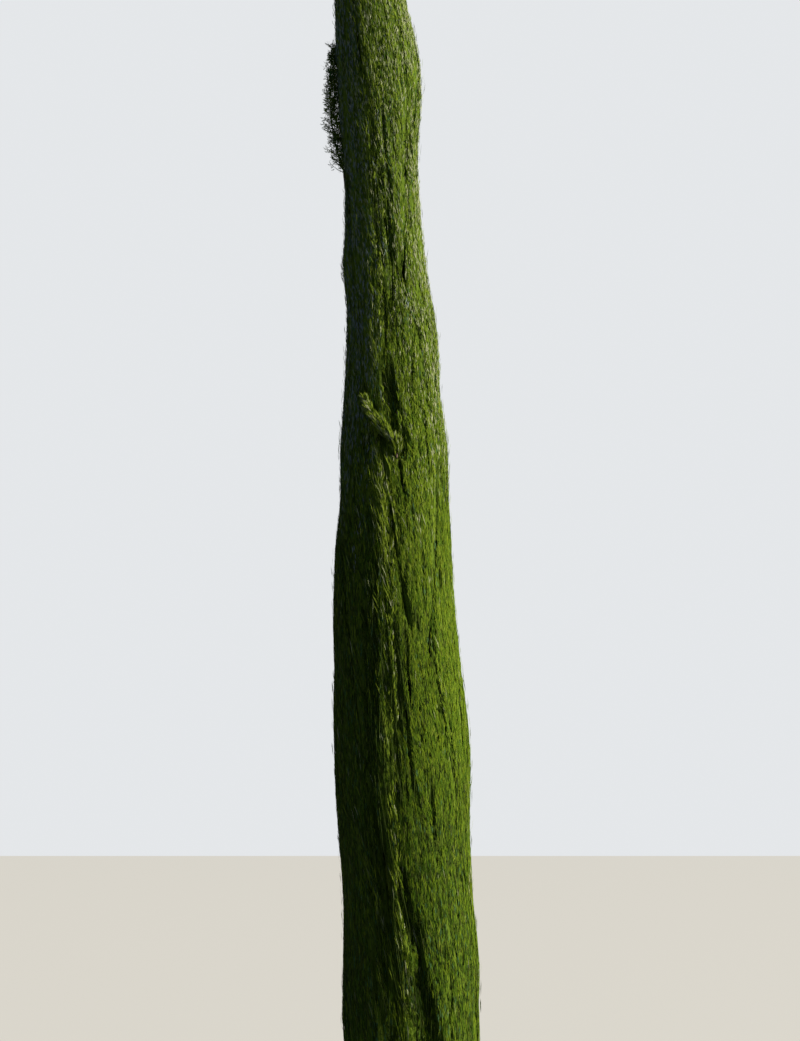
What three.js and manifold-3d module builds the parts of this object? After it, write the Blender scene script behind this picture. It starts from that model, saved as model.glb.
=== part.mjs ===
// Italian cypress: a slim column of upright foliage round one leaning trunk.
// Units are millimetres, +Z is up, and the origin is the middle of the trunk's flat foot.

import * as THREE from "three";
import { mergeVertices } from "three/addons/utils/BufferGeometryUtils.js";
import Module from "manifold-3d";

const wasm = await Module();
wasm.setup();

const { clamp, lerp, smoothstep } = THREE.MathUtils;
const fullTurn = 2 * Math.PI;
const goldenTurn = Math.PI * (3 - Math.sqrt(5));

// Whole tree
const treeHeight = 10000;
const airGap = 0.4; // between pieces that meet
const seed = 20;

// The trunk's line leans towards -X, with one slow bend and a slight sway
const leanPerHeight = -0.041;
const bend = { from: 2600, to: 8300, offset: 38 };
const swayOffset = 22;

// Trunk radii, with a root flare of rounded lobes
const trunk = {
  baseRadius: 104,
  topRadius: 7,
  topHeight: 9420,
  taper: 0.92, // under 1, so it thins a little sooner near its foot
  flare: 62,
  flareHeight: 230,
  rootLobes: 5,
  rootRelief: 0.16,
  sides: 15,
  rows: 16,
  rowCrowding: 1.9, // of the rows of faces towards the foot
};

// Outline of the crown, as distances from the trunk's line
const crown = {
  baseRadius: 490,
  upperRadius: 305,
  taperFrom: 2600,
  taperTo: 6400,
  spireFrom: 7900,
  spireFullness: 0.85,
  bottom: 100,
  skirtHeight: 200,
  skirtShare: 0.72,
  skirtFullness: 1.04,
};

// Broad swells of the outline: towards which side, at what height, over what reach, and how far out
const swells = [
  { side: 0, height: 7680, reach: 900, out: 88 },
  { side: 0, height: 5700, reach: 2600, out: 28 },
  { side: 0, height: 5450, reach: 600, out: 32 },
  { side: 0, height: 4600, reach: 500, out: 24 },
  { side: 0, height: 3400, reach: 800, out: -14 },
  { side: 0, height: 2300, reach: 700, out: 34 },
  { side: 0, height: 850, reach: 400, out: 20 },
  { side: 180, height: 6800, reach: 350, out: -22 },
  { side: 180, height: 6030, reach: 380, out: 36 },
  { side: 180, height: 4200, reach: 950, out: 18 },
  { side: 180, height: 4150, reach: 500, out: -30 },
  { side: 180, height: 2900, reach: 400, out: -14 },
  { side: 180, height: 1200, reach: 800, out: -30 },
  { side: 100, height: 3100, reach: 800, out: 26 },
  { side: 60, height: 6500, reach: 700, out: -24 },
  { side: 250, height: 2000, reach: 600, out: 20 },
];

// Growth: foliage climbs as it spreads, and turns slowly round the trunk
const growth = {
  lift: 1100, // height gained from the trunk's line out to crown.baseRadius
  twist: 0.00014, // radians per millimetre of height
  passes: 24, // that find the height which growth has reached
  damping: 0.7,
};

// Plumes: one mass of foliage each, set round the trunk by the golden angle
const plumes = {
  count: 23,
  firstTurn: 0.55,
  firstRise: -420,
  riseStep: 420,
  slender: 6, // length of a plume's space for each unit of its width
  inset: 13, // from the edge of the space to the core
  innerReach: 0.47,
  outerReach: 0.92,
  middle: 0.6, // from the inner reach to the outer, where a core's ends close
  leastWidth: 40,
  rangeStep: 30,
  longestFall: 4000,
  topRise: 8960,
  footShare: 0.14, // of a plume's range, where its stem starts
  lowestFoot: 190,
  footInset: 0.035,
  stemShare: 0.84, // of its range, where its stem ends
  sprays: 9,
  rootDepth: 0.04, // how far below the core's face a spray leaves its twig, as reach
  sprayUpright: 0.25, // how far it bends up from the line of growth
  tipReach: [0.97, 1.04],
  overTop: 50, // how far sprays may pass topRise
  overSkirt: 6,
};

// The rule that deals out a plume's sprays, as shares of its range and of its width
const dealing = {
  from: 0.04,
  to: 0.96,
  uneven: 0.6,
  side: 0.85,
  goldenShare: 0.618,
  sideUneven: 0.2,
  edgeRoom: 14,
  facing: 0.9, // how far to the side its face is read
  ahead: 0.06, // reach over which the line of growth is read
  heightAhead: 0.7, // of a spray's length, where the crown's outline is read
  longest: 1.2, // of a spray's length
  leastWidth: 0.5, // of a spray's width
  tilt: 0.45, // radians to either side
};

// Cross-section of a core: across the plume, and from its inner face at 0 to its ridges at 1
const coreSection = [
  [-0.5, 0],
  [0.5, 0],
  [1, 0.45],
  [0.88, 0.84],
  [0.46, 1],
  [0, 0.84],
  [-0.46, 1],
  [-0.88, 0.84],
  [-1, 0.45],
];
const core = {
  rows: 10,
  footLength: 0.16, // share of the core that narrows to its foot
  topLength: 0.2,
  cutTopLength: 0.1, // where the leader takes over
  cutRoom: 60,
  cutCrowding: 1.7,
  ripple: 0.018,
  rippleHeight: 150,
  rippleTurn: 2.1,
};

// A spray of scale leaves is a toothed blade, thickest at its middle
const spray = { length: 330, width: 120, thick: 10, sunk: 12, margin: 8 };
const sprayOutline = [
  [0, 0],
  [0.24, 0.4],
  [1, 0.68],
  [0.4, 0.76],
  [0, 1],
  [-0.42, 0.66],
  [-0.92, 0.56],
  [-0.2, 0.36],
];

// Limbs
const bough = {
  climb: 470,
  lowestRoot: 150,
  rootShare: 0.23, // of the trunk's radius, besides rootRadius
  rootRadius: 9,
  tipShare: 0.09,
  tipRadius: 6,
  taper: 0.8,
  sunk: 0.4, // of the trunk's radius, where its line starts
  straight: 0.45, // share of its climb that is even, before it bends upwards
  points: 6,
  sides: 5,
  steps: 4,
};
const stem = {
  footRadius: 8.5,
  tipRadius: 3.5,
  footLength: 40,
  topReach: 0.72,
  outward: 0.8, // how soon it nears its top reach
  sides: 5,
  steps: 5,
};
const twig = { radius: 4.5, tipRadius: 3, sides: 3, steps: 1 };

const limbRoom = 30; // that other plumes leave round a free plume's bough

// Two plumes stand free of the rest and have no core: from and to are [angle, reach, height]
const freePlumes = [
  {
    name: "leaning_plume",
    from: [-85, 0.95, 4470],
    to: [-116, 1.03, 4830],
    bulge: 0.04, // reach gained half way
    climb: 620,
    room: 60,
    sprays: 11,
    sprayScale: 0.5,
  },
  {
    name: "feathery_plume",
    from: [178, 0.98, 6830],
    to: [181, 1.03, 7980],
    bulge: 0.17,
    climb: 640,
    room: 84,
    sprays: 16,
    sprayScale: 0.62,
  },
];
const freeSprays = {
  from: 0.06, // along the plume's line
  to: 0.96,
  spread: 0.3, // of the plume's room
  moreSpread: 0.12,
  tipSpread: 0.05,
  forward: 1.5, // of the spread
  opening: 0.2,
  turnUneven: 0.5,
  tilt: 0.6, // radians to either side
  shortest: 0.85,
  longest: 1.15,
  thinness: 0.75,
  sunk: 0.16, // of the spray's length
  grip: 0.2,
  within: 0.9, // of the plume's room
};
const freeRoom = { onward: 0.6, points: 7, sides: 8, steps: 6, side: [-0.84, 0.54, 0] };

// The leader is the pointed top mass round the trunk's tip
const leader = {
  rise: 9030,
  coreTop: 9900,
  reach: 0.84,
  shoulder: 0.25, // share of the core's rows that make its underside
  roundness: 0.7,
  sides: 8,
  rows: 8,
  stemBend: 9700,
  stemAbove: 30,
  stemTip: 3,
  sprays: 10,
  firstSpray: 190, // above its rise
  lastSpray: 90, // below its core's top
  sprayReach: 0.86,
  sprayOut: 8, // for each sprayUp
  sprayUp: 60,
  lowScale: 0.9,
  highScale: 0.55,
  tilt: 0.4,
  turnUneven: 0.4,
  room: 15, // under the tree's height
  sunk: 0.6,
  tipRoot: 60,
  tipWidth: 0.5,
};

const bowl = { steps: 5, wide: 1.5, sides: 24 };
const fineness = { joined: 1.2, kept: 0.05 }; // of the faces that a joined solid keeps

const barkMaterial = new THREE.MeshStandardMaterial({
  color: 0x6b5a4a,
  roughness: 0.95,
  metalness: 0,
});
const foliageMaterial = new THREE.MeshStandardMaterial({
  color: 0x4d5f2a,
  roughness: 0.8,
  metalness: 0,
});

function seededRandom(start) {
  let state = start >>> 0;
  return () => {
    state = (Math.imul(state, 1664525) + 1013904223) >>> 0;
    return state / 4294967296;
  };
}

// Shape of the tree

function trunkLine(height) {
  const along = clamp((height - bend.from) / (bend.to - bend.from), 0, 1);
  const x = leanPerHeight * height + bend.offset * 0.5 * (1 - Math.cos(fullTurn * along));
  const y = swayOffset * Math.sin((fullTurn * height) / treeHeight);
  return new THREE.Vector3(x, y, height);
}

function trunkRadius(height) {
  const share = clamp(height / trunk.topHeight, 0, 1);
  return lerp(trunk.baseRadius, trunk.topRadius, share ** trunk.taper);
}

function crownRadius(height, angle) {
  const taper = smoothstep(height, crown.taperFrom, crown.taperTo);
  const body = lerp(crown.baseRadius, crown.upperRadius, taper);
  let swell = 0;
  for (const { side, height: middle, reach, out } of swells) {
    const near = clamp(1 - Math.abs(height - middle) / reach, 0, 1);
    const facing = Math.max(0, Math.cos(angle - THREE.MathUtils.degToRad(side)));
    swell += out * near * near * (3 - 2 * near) * facing * facing;
  }
  const up = clamp((height - crown.spireFrom) / (treeHeight - crown.spireFrom), 0, 1);
  return (body + swell) * (1 - up * up) ** crown.spireFullness;
}

function skirtRadius(height) {
  const share = clamp((height - crown.bottom) / crown.skirtHeight, 0, 1);
  const full = Math.sin((share * Math.PI) / 2);
  return crown.baseRadius * lerp(crown.skirtShare, crown.skirtFullness, full);
}

function polarPoint(angle, radius, height) {
  const point = trunkLine(height);
  point.x += radius * Math.cos(angle);
  point.y += radius * Math.sin(angle);
  return point;
}

// Growth space: turn round the trunk, rise of the place the foliage started from, and reach,
// which is 0 on the trunk's line and 1 on the crown's outline

function toGrowth(point) {
  const line = trunkLine(point.z);
  const radius = Math.hypot(point.x - line.x, point.y - line.y);
  const angle = Math.atan2(point.y - line.y, point.x - line.x);
  return {
    turn: angle + growth.twist * point.z,
    rise: point.z - growth.lift * (radius / crown.baseRadius) ** 2,
    reach: radius / crownRadius(point.z, angle),
    radius,
  };
}

function fromGrowth(turn, rise, reach) {
  let height = rise + growth.lift * reach * reach;
  let angle = 0;
  let radius = 0;
  for (let pass = 0; pass < growth.passes; pass++) {
    angle = turn - growth.twist * height;
    radius = reach * crownRadius(height, angle);
    const wanted = rise + growth.lift * (radius / crown.baseRadius) ** 2;
    height = lerp(height, wanted, growth.damping);
  }
  return polarPoint(angle, radius, height);
}

// Places of the plumes, and the share of the crown that each one has to itself

const plumePlaces = [];
for (let index = 0; index < plumes.count; index++) {
  plumePlaces.push({
    index,
    turn: plumes.firstTurn + index * goldenTurn,
    rise: plumes.firstRise + index * plumes.riseStep,
  });
}

// The span of turns, from the plume's own turn, that is nearer to it than to any other plume
function spanAt(place, rise) {
  let low = -Math.PI;
  let high = Math.PI;
  const own = (place.rise - rise) / plumes.slender;
  for (const other of plumePlaces) {
    if (other === place) {
      continue;
    }
    const theirs = (other.rise - rise) / plumes.slender;
    const apart = other.turn - place.turn;
    const nearest = apart - fullTurn * Math.round(apart / fullTurn);
    for (const turn of [nearest, nearest - Math.sign(nearest) * fullTurn]) {
      const across = turn * crown.baseRadius;
      const edge = (across * across + theirs * theirs - own * own) / (2 * across);
      if (across > 0) {
        high = Math.min(high, edge / crown.baseRadius);
      } else {
        low = Math.max(low, edge / crown.baseRadius);
      }
    }
  }
  return { low, high };
}

function insetSpan(place, rise, inset) {
  const { low, high } = spanAt(place, rise);
  const middle = fromGrowth(place.turn + (low + high) / 2, rise, plumes.outerReach);
  const off = inset / toGrowth(middle).radius;
  return { low: low + off, high: high - off, wide: (high - low - 2 * off) * (inset / off) };
}

// Where a plume's core starts and ends
function riseRange(place) {
  const step = plumes.rangeStep;
  let from = place.rise;
  let to = place.rise;
  const roomAt = (rise) => insetSpan(place, rise, plumes.inset).wide > plumes.leastWidth;
  while (roomAt(from - step) && place.rise - from < plumes.longestFall) {
    from -= step;
  }
  while (roomAt(to + step) && to + step < plumes.topRise) {
    to += step;
  }
  return { from, to };
}

// Solids

function solidFrom(geometry) {
  geometry.deleteAttribute("normal");
  geometry.deleteAttribute("uv");
  const merged = mergeVertices(geometry, 1e-4);
  const solid = new wasm.Manifold(
    new wasm.Mesh({
      numProp: 3,
      vertProperties: merged.attributes.position.array,
      triVerts: new Uint32Array(merged.index.array),
    }),
  );
  if (solid.volume() <= 0) {
    throw new Error("a solid is inside out");
  }
  return solid;
}

function reshape(geometry, place) {
  const position = geometry.attributes.position;
  const vertex = new THREE.Vector3();
  for (let i = 0; i < position.count; i++) {
    vertex.fromBufferAttribute(position, i);
    const moved = place(vertex);
    position.setXYZ(i, moved.x, moved.y, moved.z);
  }
  return solidFrom(geometry);
}

// A tapering limb along a line of points, from a plain cylinder that is bent and drawn out
function limbSolid(points, { radiusAt, sides, steps, reference }) {
  const curve = new THREE.CatmullRomCurve3(points, false, "centripetal");
  return reshape(new THREE.CylinderGeometry(1, 1, 1, sides, steps), (vertex) => {
    const share = clamp(vertex.y + 0.5, 0, 1);
    const along = curve.getTangent(share);
    const across = new THREE.Vector3().crossVectors(reference, along).normalize();
    const other = new THREE.Vector3().crossVectors(across, along).normalize();
    const angle = Math.atan2(vertex.z, vertex.x);
    const radius = radiusAt(share, angle) * Math.hypot(vertex.x, vertex.z);
    return curve
      .getPoint(share)
      .addScaledVector(across, radius * Math.cos(angle))
      .addScaledVector(other, radius * Math.sin(angle));
  });
}

function sideways(angle) {
  return new THREE.Vector3(-Math.sin(angle), Math.cos(angle), 0);
}

// The trunk, or a slightly wider copy that cuts other solids clear of it
function trunkSolid(extra) {
  const shape = new THREE.CylinderGeometry(1, 1, 1, trunk.sides, trunk.rows);
  return reshape(shape, (vertex) => {
    const share = clamp(vertex.y + 0.5, 0, 1);
    const height = trunk.topHeight * share ** trunk.rowCrowding + (share >= 1 ? extra : 0);
    const angle = Math.atan2(-vertex.z, vertex.x);
    const flare = trunk.flare * Math.exp(-height / trunk.flareHeight);
    const lobes = 1 + trunk.rootRelief * Math.cos(trunk.rootLobes * angle);
    const radius = trunkRadius(height) + flare * lobes + extra;
    const wide = radius * Math.hypot(vertex.x, vertex.z);
    return polarPoint(angle, wide, height - (share <= 0 ? extra : 0));
  });
}

// One toothed blade, given where its root is, which way it grows and which way it is wide
function spraySolid({ root, along, across, length, width, thick }) {
  const count = sprayOutline.length;
  const normal = new THREE.Vector3().crossVectors(across, along).normalize();
  return reshape(new THREE.ConeGeometry(1, 1, count, 1), (vertex) => {
    const point = root.clone();
    if (Math.hypot(vertex.x, vertex.z) < 0.5) {
      const face = vertex.y > 0 ? 1 : -1;
      return point.addScaledVector(along, length * 0.5).addScaledVector(normal, (face * thick) / 2);
    }
    const turn = Math.atan2(vertex.x, vertex.z) / fullTurn;
    const [wide, far] = sprayOutline[(Math.round(turn * count) + count) % count];
    return point
      .addScaledVector(along, length * far)
      .addScaledVector(across, (width * wide) / 2);
  });
}

function sprayPoints({ root, along, across, length, width }) {
  return sprayOutline.map(([wide, far]) =>
    root
      .clone()
      .addScaledVector(along, length * far)
      .addScaledVector(across, (width * wide) / 2),
  );
}

function coreSolid(place, range) {
  const columns = coreSection.length;
  const shape = new THREE.SphereGeometry(1, columns, core.rows);
  const middleReach = lerp(plumes.innerReach, plumes.outerReach, plumes.middle);
  const cutOff = range.to + core.cutRoom > plumes.topRise; // where the leader takes over
  const topLength = cutOff ? core.cutTopLength : core.topLength;
  return reshape(shape, (vertex) => {
    const up = Math.acos(clamp(-vertex.y, -1, 1)) / Math.PI;
    const column = Math.round((Math.atan2(-vertex.z, -vertex.x) / fullTurn) * columns);
    const [side, depth] = coreSection[(column + columns) % columns];
    const share = cutOff ? 1 - (1 - up) ** core.cutCrowding : up;
    const rise = lerp(range.from, range.to, share);
    const { low, high } = insetSpan(place, rise, plumes.inset);
    const closing = Math.min(1, up / core.footLength) * Math.min(1, (1 - up) / topLength);
    const fullness = Math.sqrt(closing);
    const turn = place.turn + (low + high) / 2 + side * fullness * (high - low) * 0.5;
    const level = lerp(plumes.innerReach, plumes.outerReach, depth);
    const wave = Math.sin(rise / core.rippleHeight + column * core.rippleTurn);
    const ripple = 1 + core.ripple * fullness * wave;
    return fromGrowth(turn, rise, lerp(middleReach, level, fullness) * ripple);
  });
}

function joined(solids) {
  return wasm.Manifold.union(solids).simplify(fineness.joined);
}

// The largest body of a solid, without loose scraps or sealed hollows
function mainBody(solid) {
  const bodies = solid.simplify(fineness.kept).decompose();
  bodies.sort((a, b) => b.volume() - a.volume());
  return bodies[0];
}

// Boughs: each leaves the trunk, bends upwards and ends at the foot of its plume's stem

function boughLine(foot, climb) {
  const line = trunkLine(foot.z);
  const footRadius = Math.hypot(foot.x - line.x, foot.y - line.y);
  const angle = Math.atan2(foot.y - line.y, foot.x - line.x);
  const start = foot.z - climb;
  const points = [];
  for (let step = 0; step < bough.points; step++) {
    const share = step / (bough.points - 1);
    const height = start + climb * lerp(share * share, share, bough.straight);
    const out = lerp(trunkRadius(start) * bough.sunk, footRadius, Math.sin((share * Math.PI) / 2));
    points.push(polarPoint(angle, out, height));
  }
  return { points, angle, start };
}

function boughSolid({ points, angle, start }, extra) {
  const rootRadius = bough.rootRadius + bough.rootShare * trunkRadius(start);
  const tipRadius = bough.tipRadius + bough.tipShare * trunkRadius(start);
  const last = points[points.length - 1];
  const before = points[points.length - 2];
  const along = last.clone().sub(before).normalize();
  const line = [...points.slice(0, -1), last.clone().addScaledVector(along, extra)];
  return limbSolid(line, {
    radiusAt: (share) => lerp(rootRadius, tipRadius, share ** bough.taper) + extra,
    sides: bough.sides,
    steps: bough.steps,
    reference: sideways(angle),
  });
}

// A stem goes on from the bough's tip, in the same direction
function stemSolid(boughPoints, rest, angle) {
  const tip = boughPoints[boughPoints.length - 1];
  const along = tip.clone().sub(boughPoints[boughPoints.length - 2]).normalize();
  const points = [
    tip.clone().addScaledVector(along, airGap),
    tip.clone().addScaledVector(along, stem.footLength),
    ...rest,
  ];
  return limbSolid(points, {
    radiusAt: (share) => lerp(stem.footRadius, stem.tipRadius, share),
    sides: stem.sides,
    steps: stem.steps,
    reference: sideways(angle),
  });
}

function twigSolid(from, to, angle) {
  return limbSolid([from, to], {
    radiusAt: (share) => lerp(twig.radius, twig.tipRadius, share),
    sides: twig.sides,
    steps: twig.steps,
    reference: sideways(angle),
  });
}

// Free plumes: the line of the stem, and the room that the rest of the crown leaves them

function freeLine({ from, to, bulge }) {
  const points = [];
  for (let step = 0; step < freeRoom.points; step++) {
    const share = step / (freeRoom.points - 1);
    const angle = THREE.MathUtils.degToRad(lerp(from[0], to[0], share));
    const height = lerp(from[2], to[2], share);
    const reach = lerp(from[1], to[1], share) + bulge * Math.sin(share * Math.PI);
    points.push(polarPoint(angle, reach * crownRadius(height, angle), height));
  }
  return points;
}

function distanceToLine(point, points) {
  const nearest = new THREE.Vector3();
  let least = Infinity;
  for (let i = 1; i < points.length; i++) {
    new THREE.Line3(points[i - 1], points[i]).closestPointToPoint(point, true, nearest);
    least = Math.min(least, nearest.distanceTo(point));
  }
  return least;
}

const freeSpaces = freePlumes.map((plume) => {
  const line = freeLine(plume);
  const last = line[line.length - 1];
  const onward = last.clone().sub(line[line.length - 2]).setLength(spray.length * freeRoom.onward);
  const roomLine = [...line, last.clone().add(onward)];
  return { ...plume, line, roomLine, boughLine: boughLine(line[0], plume.climb) };
});

function roomSolid({ roomLine, room }) {
  return limbSolid(roomLine, {
    radiusAt: () => room,
    sides: freeRoom.sides,
    steps: freeRoom.steps,
    reference: new THREE.Vector3(...freeRoom.side),
  });
}

function clearOfFreePlumes(point, margin) {
  return freeSpaces.every(
    ({ roomLine, room, boughLine: limb }) =>
      distanceToLine(point, roomLine) > room + margin &&
      distanceToLine(point, limb.points) > limbRoom + margin,
  );
}

// How far out the core's outer face is, at a place from -1 to 1 across the plume
function faceReach(side) {
  const outer = coreSection.filter(([across]) => across >= 0).slice(1);
  const across = Math.abs(side);
  const next = outer.findLastIndex(([edge]) => edge >= across);
  const [wide, depth] = outer[next];
  const [narrow, ridge] = outer[Math.min(next + 1, outer.length - 1)];
  const share = wide === narrow ? 0 : (wide - across) / (wide - narrow);
  return lerp(plumes.innerReach, plumes.outerReach, lerp(depth, ridge, share));
}

// Rule that deals out a plume's sprays: evenly up the plume, from side to side by the golden share
function sprayPlaces(place, range, random) {
  const places = [];
  for (let k = 0; k < plumes.sprays; k++) {
    const share = (k + random() * dealing.uneven) / plumes.sprays;
    const golden = (k * dealing.goldenShare + random() * dealing.sideUneven) % 1;
    const side = lerp(-dealing.side, dealing.side, golden);
    const rise = lerp(range.from, range.to, lerp(dealing.from, dealing.to, share));
    const { low, high } = insetSpan(place, rise, plumes.inset + dealing.edgeRoom);
    const turn = place.turn + lerp(low, high, 0.5 + side / 2);
    const tipReach = lerp(...plumes.tipReach, random());
    const rootReach = faceReach(side * dealing.facing) - plumes.rootDepth;
    const tilt = lerp(-dealing.tilt, dealing.tilt, random());
    places.push({ turn, rise, rootReach, tipReach, tilt });
  }
  return places;
}

function insideOwnSpace(point, place) {
  const { turn, rise, radius } = toGrowth(point);
  const { low, high } = spanAt(place, rise);
  const apart = turn - place.turn;
  const own = apart - fullTurn * Math.round(apart / fullTurn);
  const margin = spray.margin / radius;
  const within = own > low + margin && own < high - margin;
  const below = rise < plumes.topRise + plumes.overTop;
  const tucked = point.z > crown.bottom && radius < skirtRadius(point.z) + plumes.overSkirt;
  return within && below && tucked && clearOfFreePlumes(point, spray.margin);
}

function plumeSolids(place, random) {
  const range = riseRange(place);
  const footRise = Math.max(lerp(range.from, range.to, plumes.footShare), plumes.lowestFoot);
  const foot = fromGrowth(place.turn, footRise, plumes.innerReach - plumes.footInset);
  const climb = Math.min(bough.climb, foot.z - bough.lowestRoot);
  const limb = boughLine(foot, climb);

  const rest = [0.25, 0.5, 0.75, 1].map((share) => {
    const rise = lerp(footRise, lerp(range.from, range.to, plumes.stemShare), share);
    const { low, high } = insetSpan(place, rise, plumes.inset);
    const turn = place.turn + ((low + high) / 2) * share;
    const reach = lerp(plumes.innerReach, stem.topReach, share ** stem.outward);
    return fromGrowth(turn, rise, reach);
  });
  const stemBody = stemSolid(limb.points, rest, limb.angle);
  const stemCurve = new THREE.CatmullRomCurve3([foot, ...rest], false, "centripetal");

  const solids = [coreSolid(place, range), stemBody];
  for (const { turn, rise, rootReach, tipReach, tilt } of sprayPlaces(place, range, random)) {
    const root = fromGrowth(turn, rise, rootReach);
    const along = fromGrowth(turn, rise, rootReach + dealing.ahead).sub(root).normalize();
    const angle = Math.atan2(root.y - trunkLine(root.z).y, root.x - trunkLine(root.z).x);
    const outward = new THREE.Vector3(Math.cos(angle), Math.sin(angle), 0);
    along.add(new THREE.Vector3(0, 0, plumes.sprayUpright)).normalize();
    const outline = crownRadius(root.z + spray.length * dealing.heightAhead, angle);
    const stillOut = ((tipReach - rootReach) * outline) / along.dot(outward);
    const length = Math.min(stillOut, spray.length * dealing.longest) + spray.sunk;
    const widening = lerp(dealing.leastWidth, 1, length / spray.length);
    const across = sideways(angle).applyAxisAngle(along, tilt);
    const sunkRoot = root.clone().addScaledVector(along, -spray.sunk);
    const blade = {
      root: sunkRoot,
      along,
      across,
      length,
      width: spray.width * widening,
      thick: spray.thick,
    };
    if (!sprayPoints(blade).every((point) => insideOwnSpace(point, place))) {
      continue;
    }
    const origin = stemCurve.getPoint(clamp((rise - footRise) / (range.to - footRise), 0.05, 1));
    solids.push(twigSolid(origin, root, angle), spraySolid(blade));
  }
  return { solid: joined(solids), limb };
}

// A free plume has a stem, twigs to both sides by the golden angle, and sprays at their ends
function freePlumeSolid({ line, roomLine, boughLine: limb, room, sprays, sprayScale }, random) {
  const curve = new THREE.CatmullRomCurve3(line, false, "centripetal");
  const solids = [stemSolid(limb.points, line.slice(1), limb.angle)];
  for (let k = 0; k < sprays; k++) {
    const share = lerp(freeSprays.from, freeSprays.to, k / (sprays - 1));
    const origin = curve.getPoint(share);
    const along = curve.getTangent(share);
    const out = new THREE.Vector3(0, 0, 1).cross(along).normalize();
    out.applyAxisAngle(along, k * goldenTurn + freeSprays.turnUneven * random());
    const wide = freeSprays.spread + freeSprays.moreSpread * random();
    const spread = (k === sprays - 1 ? freeSprays.tipSpread : wide) * room;
    const root = origin.clone().addScaledVector(out, spread);
    root.addScaledVector(along, freeSprays.forward * spread);
    const grows = along.clone().addScaledVector(out, freeSprays.opening).normalize();
    const across = new THREE.Vector3().crossVectors(grows, out).normalize();
    across.applyAxisAngle(grows, lerp(-freeSprays.tilt, freeSprays.tilt, random()));
    const size = lerp(freeSprays.shortest, freeSprays.longest, random());
    const length = spray.length * sprayScale * size;
    const blade = {
      root: root.clone().addScaledVector(grows, -freeSprays.sunk * length),
      along: grows,
      across,
      length,
      width: spray.width * sprayScale,
      thick: spray.thick * freeSprays.thinness,
    };
    const stays = (point) => distanceToLine(point, roomLine) < freeSprays.within * room;
    if (!sprayPoints(blade).every(stays)) {
      continue;
    }
    const held = root.clone().addScaledVector(grows, freeSprays.grip * length);
    solids.push(twigSolid(origin, held, limb.angle), spraySolid(blade));
  }
  return joined(solids);
}

function leaderRadius(height) {
  return leader.reach * crownRadius(height, 0);
}

function leaderSpray(k, random) {
  const share = k / (leader.sprays - 1);
  const height = lerp(leader.rise + leader.firstSpray, leader.coreTop - leader.lastSpray, share);
  const angle = k * goldenTurn + leader.turnUneven * random();
  const reach = leaderRadius(height) * leader.sprayReach;
  const root = polarPoint(angle, reach, height);
  const ahead = polarPoint(angle, reach + leader.sprayOut, height + leader.sprayUp);
  const along = ahead.sub(root).normalize();
  const scale = lerp(leader.lowScale, leader.highScale, share);
  const sunk = spray.sunk * leader.sunk;
  const blade = {
    root: root.clone().addScaledVector(along, -sunk),
    along,
    across: sideways(angle).applyAxisAngle(along, lerp(-leader.tilt, leader.tilt, random())),
    length: Math.min(spray.length * scale, (treeHeight - leader.room - height) / along.z + sunk),
    width: spray.width * scale,
    thick: spray.thick,
  };
  return [twigSolid(trunkLine(height - leader.sprayUp), root, angle), spraySolid(blade)];
}

function leaderSolid(random) {
  const shape = new THREE.SphereGeometry(1, leader.sides, leader.rows);
  const body = reshape(shape, (vertex) => {
    const up = Math.acos(clamp(-vertex.y, -1, 1)) / Math.PI;
    const turn = -Math.atan2(vertex.z, vertex.x);
    const under = Math.min(1, up / leader.shoulder) ** leader.roundness;
    const base = fromGrowth(turn, leader.rise, leader.reach * under);
    const above = clamp((up - leader.shoulder) / (1 - leader.shoulder), 0, 1);
    const height = lerp(base.z, leader.coreTop, above);
    const angle = turn - growth.twist * height;
    return above > 0 ? polarPoint(angle, leaderRadius(height) * (up < 1 ? 1 : 0), height) : base;
  });
  const tip = trunkLine(trunk.topHeight + airGap);
  const stemPoints = [tip, trunkLine(leader.stemBend), trunkLine(leader.coreTop + leader.stemAbove)];
  const stemBody = limbSolid(stemPoints, {
    radiusAt: (along) => lerp(trunk.topRadius - 1, leader.stemTip, along),
    sides: stem.sides,
    steps: 3,
    reference: new THREE.Vector3(1, 0, 0),
  });
  const solids = [body, stemBody];
  for (let k = 0; k < leader.sprays; k++) {
    solids.push(...leaderSpray(k, random));
  }
  const top = trunkLine(leader.coreTop - leader.tipRoot);
  solids.push(
    spraySolid({
      root: top,
      along: trunkLine(treeHeight).sub(top).normalize(),
      across: new THREE.Vector3(1, 0, 0),
      length: treeHeight - top.z,
      width: spray.width * leader.tipWidth,
      thick: spray.thick,
    }),
  );
  return joined(solids);
}

// The bowl that the lowest foliage keeps inside
function skirtBowl() {
  const profile = [new THREE.Vector2(0, crown.bottom)];
  for (let step = 0; step <= bowl.steps; step++) {
    const height = crown.bottom + (crown.skirtHeight * step) / bowl.steps;
    profile.push(new THREE.Vector2(skirtRadius(height), height));
  }
  const wide = crown.baseRadius * bowl.wide;
  profile.push(new THREE.Vector2(wide, crown.bottom + crown.skirtHeight * bowl.wide));
  profile.push(new THREE.Vector2(wide, treeHeight));
  profile.push(new THREE.Vector2(0, treeHeight));
  const lathe = new THREE.LatheGeometry(profile, bowl.sides);
  lathe.rotateX(Math.PI / 2);
  return solidFrom(lathe);
}

// Assembly

const tree = new THREE.Group();
tree.name = "italian_cypress";

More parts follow.
